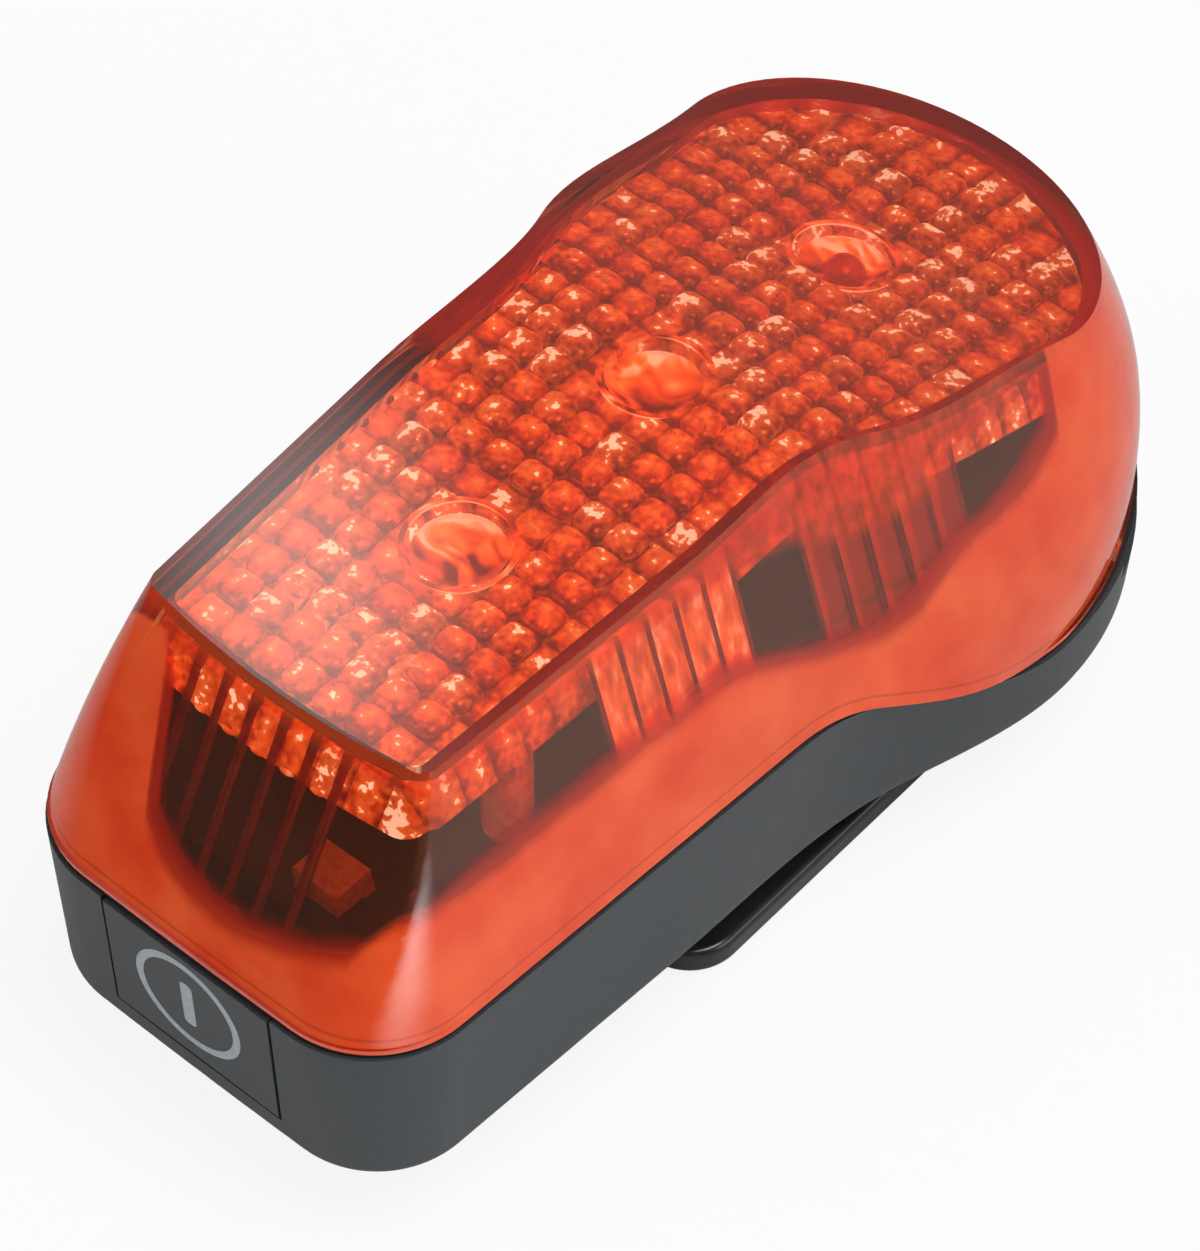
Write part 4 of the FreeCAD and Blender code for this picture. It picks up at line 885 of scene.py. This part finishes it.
def white_paper():
    """White paper for the floor: gloss sees it dark at the near side, and the camera sees it lifted."""
    material, tree, shader = new_material("white paper", roughness=0.9, specular_ior_level=0.1)
    tone = add(tree, "ShaderNodeValToRGB", {"Fac": grain_field(tree, 1.0)},
               ((0.3, "#F6F6F6"), (0.7, "#FAFAFA")))
    tree.links.new(tone.outputs["Color"], shader.inputs["Base Color"])
    rays = add(tree, "ShaderNodeLightPath")
    place = add(tree, "ShaderNodeTexCoord").outputs["Object"]
    along = add(tree, "ShaderNodeSeparateXYZ", {"Vector": place}).outputs["Y"]
    ahead = add(tree, "ShaderNodeMapRange", {
        "Value": along, "From Min": -0.11, "From Max": -0.05, "To Min": 0.93, "To Max": 0.35})
    dim = add(tree, "ShaderNodeMath", {0: ahead.outputs["Result"], 1: rays.outputs["Is Glossy Ray"]},
              operation="MULTIPLY")
    dark = add(tree, "ShaderNodeBsdfDiffuse", {"Color": colour("#303030")})
    shaded = add(tree, "ShaderNodeMixShader", {
        0: dim.outputs[0], 1: shader.outputs["BSDF"], 2: dark.outputs["BSDF"]})
    lift = add(tree, "ShaderNodeMath", {0: rays.outputs["Is Camera Ray"], 1: 0.88}, operation="MULTIPLY")
    white = add(tree, "ShaderNodeEmission", {"Color": (1, 1, 1, 1), "Strength": 1.0})
    paper = add(tree, "ShaderNodeMixShader", {
        0: lift.outputs[0], 1: shaded.outputs["Shader"], 2: white.outputs["Emission"]})
    output = next(node for node in tree.nodes if node.type == "OUTPUT_MATERIAL")
    tree.links.new(paper.outputs["Shader"], output.inputs["Surface"])
    return material


def studio_world():
    """Soft light all round, weaker from the near side and below; the camera sees it white."""
    world = bpy.data.worlds.new("studio")
    bpy.context.scene.world = world
    world.use_nodes = True
    tree = world.node_tree
    tree.nodes.clear()
    toward = add(tree, "ShaderNodeTexCoord").outputs["Generated"]
    brightest = (-0.15, 0.80, 0.58)
    lean = add(tree, "ShaderNodeVectorMath", {0: toward, 1: brightest}, operation="DOT_PRODUCT")
    level = add(tree, "ShaderNodeMapRange", {
        "Value": lean.outputs["Value"], "From Min": -0.75, "From Max": 0.35, "To Min": 0.06, "To Max": 0.30},
        interpolation_type="SMOOTHSTEP")
    rays = add(tree, "ShaderNodeLightPath")
    strength = add(tree, "ShaderNodeMix", {
        0: rays.outputs["Is Camera Ray"], 2: level.outputs["Result"], 3: 1.0}, data_type="FLOAT")
    light = add(tree, "ShaderNodeBackground", {"Color": (1, 1, 1, 1), "Strength": strength.outputs[0]})
    add(tree, "ShaderNodeOutputWorld", {"Surface": light.outputs["Background"]})


floor = begin(bpy.ops.mesh.primitive_plane_add, "floor", size=1.0)
floor.scale = (1.6, 1.3, 1.0)
floor.location = (0, 0.3, cad_box[0].z - 0.0003)
close(floor)
paint(floor, white_paper())

studio_world()


def fade_to_edge(data, start):
    """Make a lamp fade out towards its edge, from that share of its width off the middle."""
    data.use_nodes = True
    tree = data.node_tree
    tree.nodes.clear()
    across = add(tree, "ShaderNodeNewGeometry").outputs["Parametric"]
    out = add(tree, "ShaderNodeVectorMath", {0: across, 1: (0.5, 0.5, 0.0)}, operation="SUBTRACT")
    flat = add(tree, "ShaderNodeVectorMath", {0: out.outputs["Vector"], 1: (1.0, 1.0, 0.0)},
               operation="MULTIPLY")
    far = add(tree, "ShaderNodeVectorMath", {0: flat.outputs["Vector"]}, operation="LENGTH")
    fade = add(tree, "ShaderNodeMapRange", {
        "Value": far.outputs["Value"], "From Min": start, "From Max": 0.5, "To Min": 1.0, "To Max": 0.0},
        interpolation_type="SMOOTHSTEP")
    bright = add(tree, "ShaderNodeEmission", {"Color": (1, 1, 1, 1), "Strength": fade.outputs["Result"]})
    add(tree, "ShaderNodeOutputLight", {"Surface": bright.outputs["Emission"]})


LAMP_DISTANCE = 0.9
MIDDLE = (0, 0, 0.015)  # of the light, where a lamp is aimed


def lamp(name, way, distance, width, height, radiance, fade, aim=MIDDLE):
    """An oval soft lamp in a direction from the light, as bright at its middle as the radiance says."""
    data = bpy.data.lights.new(name, "AREA")
    data.shape = "ELLIPSE"
    data.size = width
    data.size_y = height
    data.energy = radiance * math.pi * width * height * math.pi / 4
    fade_to_edge(data, fade)
    made = bpy.data.objects.new(name, data)
    bpy.context.scene.collection.objects.link(made)
    toward = Vector(way).normalized()
    made.location = Vector(aim) + toward * distance
    made.rotation_mode = "QUATERNION"
    made.rotation_quaternion = toward.to_track_quat("Z", "Y")
    made.visible_camera = False
    return made


eye = Vector((0.1416, -0.1664, 0.2773))
target = Vector((0.00434, -0.00779, 0.01786))

# a small softbox that lies where the roof mirrors it at the photograph's angle
roof_spot = Vector((-0.0055, -0.0215, 0.0306))
sight = (roof_spot - eye).normalized()
roof_normal = Vector((0, -0.022, 1)).normalized()
mirrored = sight - 2 * sight.dot(roof_normal) * roof_normal
lamp("roof softbox", mirrored, LAMP_DISTANCE, 0.105, 0.15, 2.9, fade=0.02, aim=roof_spot)

# broad softboxes all round
for name, way, width, height, radiance in (
        ("top softbox", (0.35, 0.0, 0.95), 0.72, 0.72, 6.0),
        ("left front softbox", (-0.5, -0.75, 0.55), 0.6, 0.48, 2.5),
        ("right softbox", (0.9, 0.25, 0.4), 0.72, 0.48, 2.2)):
    lamp(name, way, LAMP_DISTANCE, width, height, radiance, fade=0.3)

# a low lamp beside the near right corner, which shines up
glint = lamp("corner glint", (0, 0, -1), 0.001, 0.19, 0.11, 4.5, fade=0.02, aim=(0.12, -0.088, -0.006))
glint.rotation_quaternion = (Matrix.Rotation(math.radians(-23), 3, "Z").to_quaternion()
                             @ Matrix.Rotation(math.pi, 3, "X").to_quaternion())

camera_data = bpy.data.cameras.new("camera")
camera = bpy.data.objects.new("camera", camera_data)
bpy.context.scene.collection.objects.link(camera)
camera_data.sensor_fit = "HORIZONTAL"
camera_data.sensor_width = 36.0
camera_data.lens = 162.76
camera_data.clip_start = 0.01
camera_data.clip_end = 10.0
camera.location = eye
camera.rotation_mode = "QUATERNION"
roll = Matrix.Rotation(math.radians(0.271), 3, "Z")
camera.rotation_quaternion = ((target - eye).to_track_quat("-Z", "Y").to_matrix() @ roll).to_quaternion()
bpy.context.scene.camera = camera
bpy.context.scene.view_settings.view_transform = "Standard"
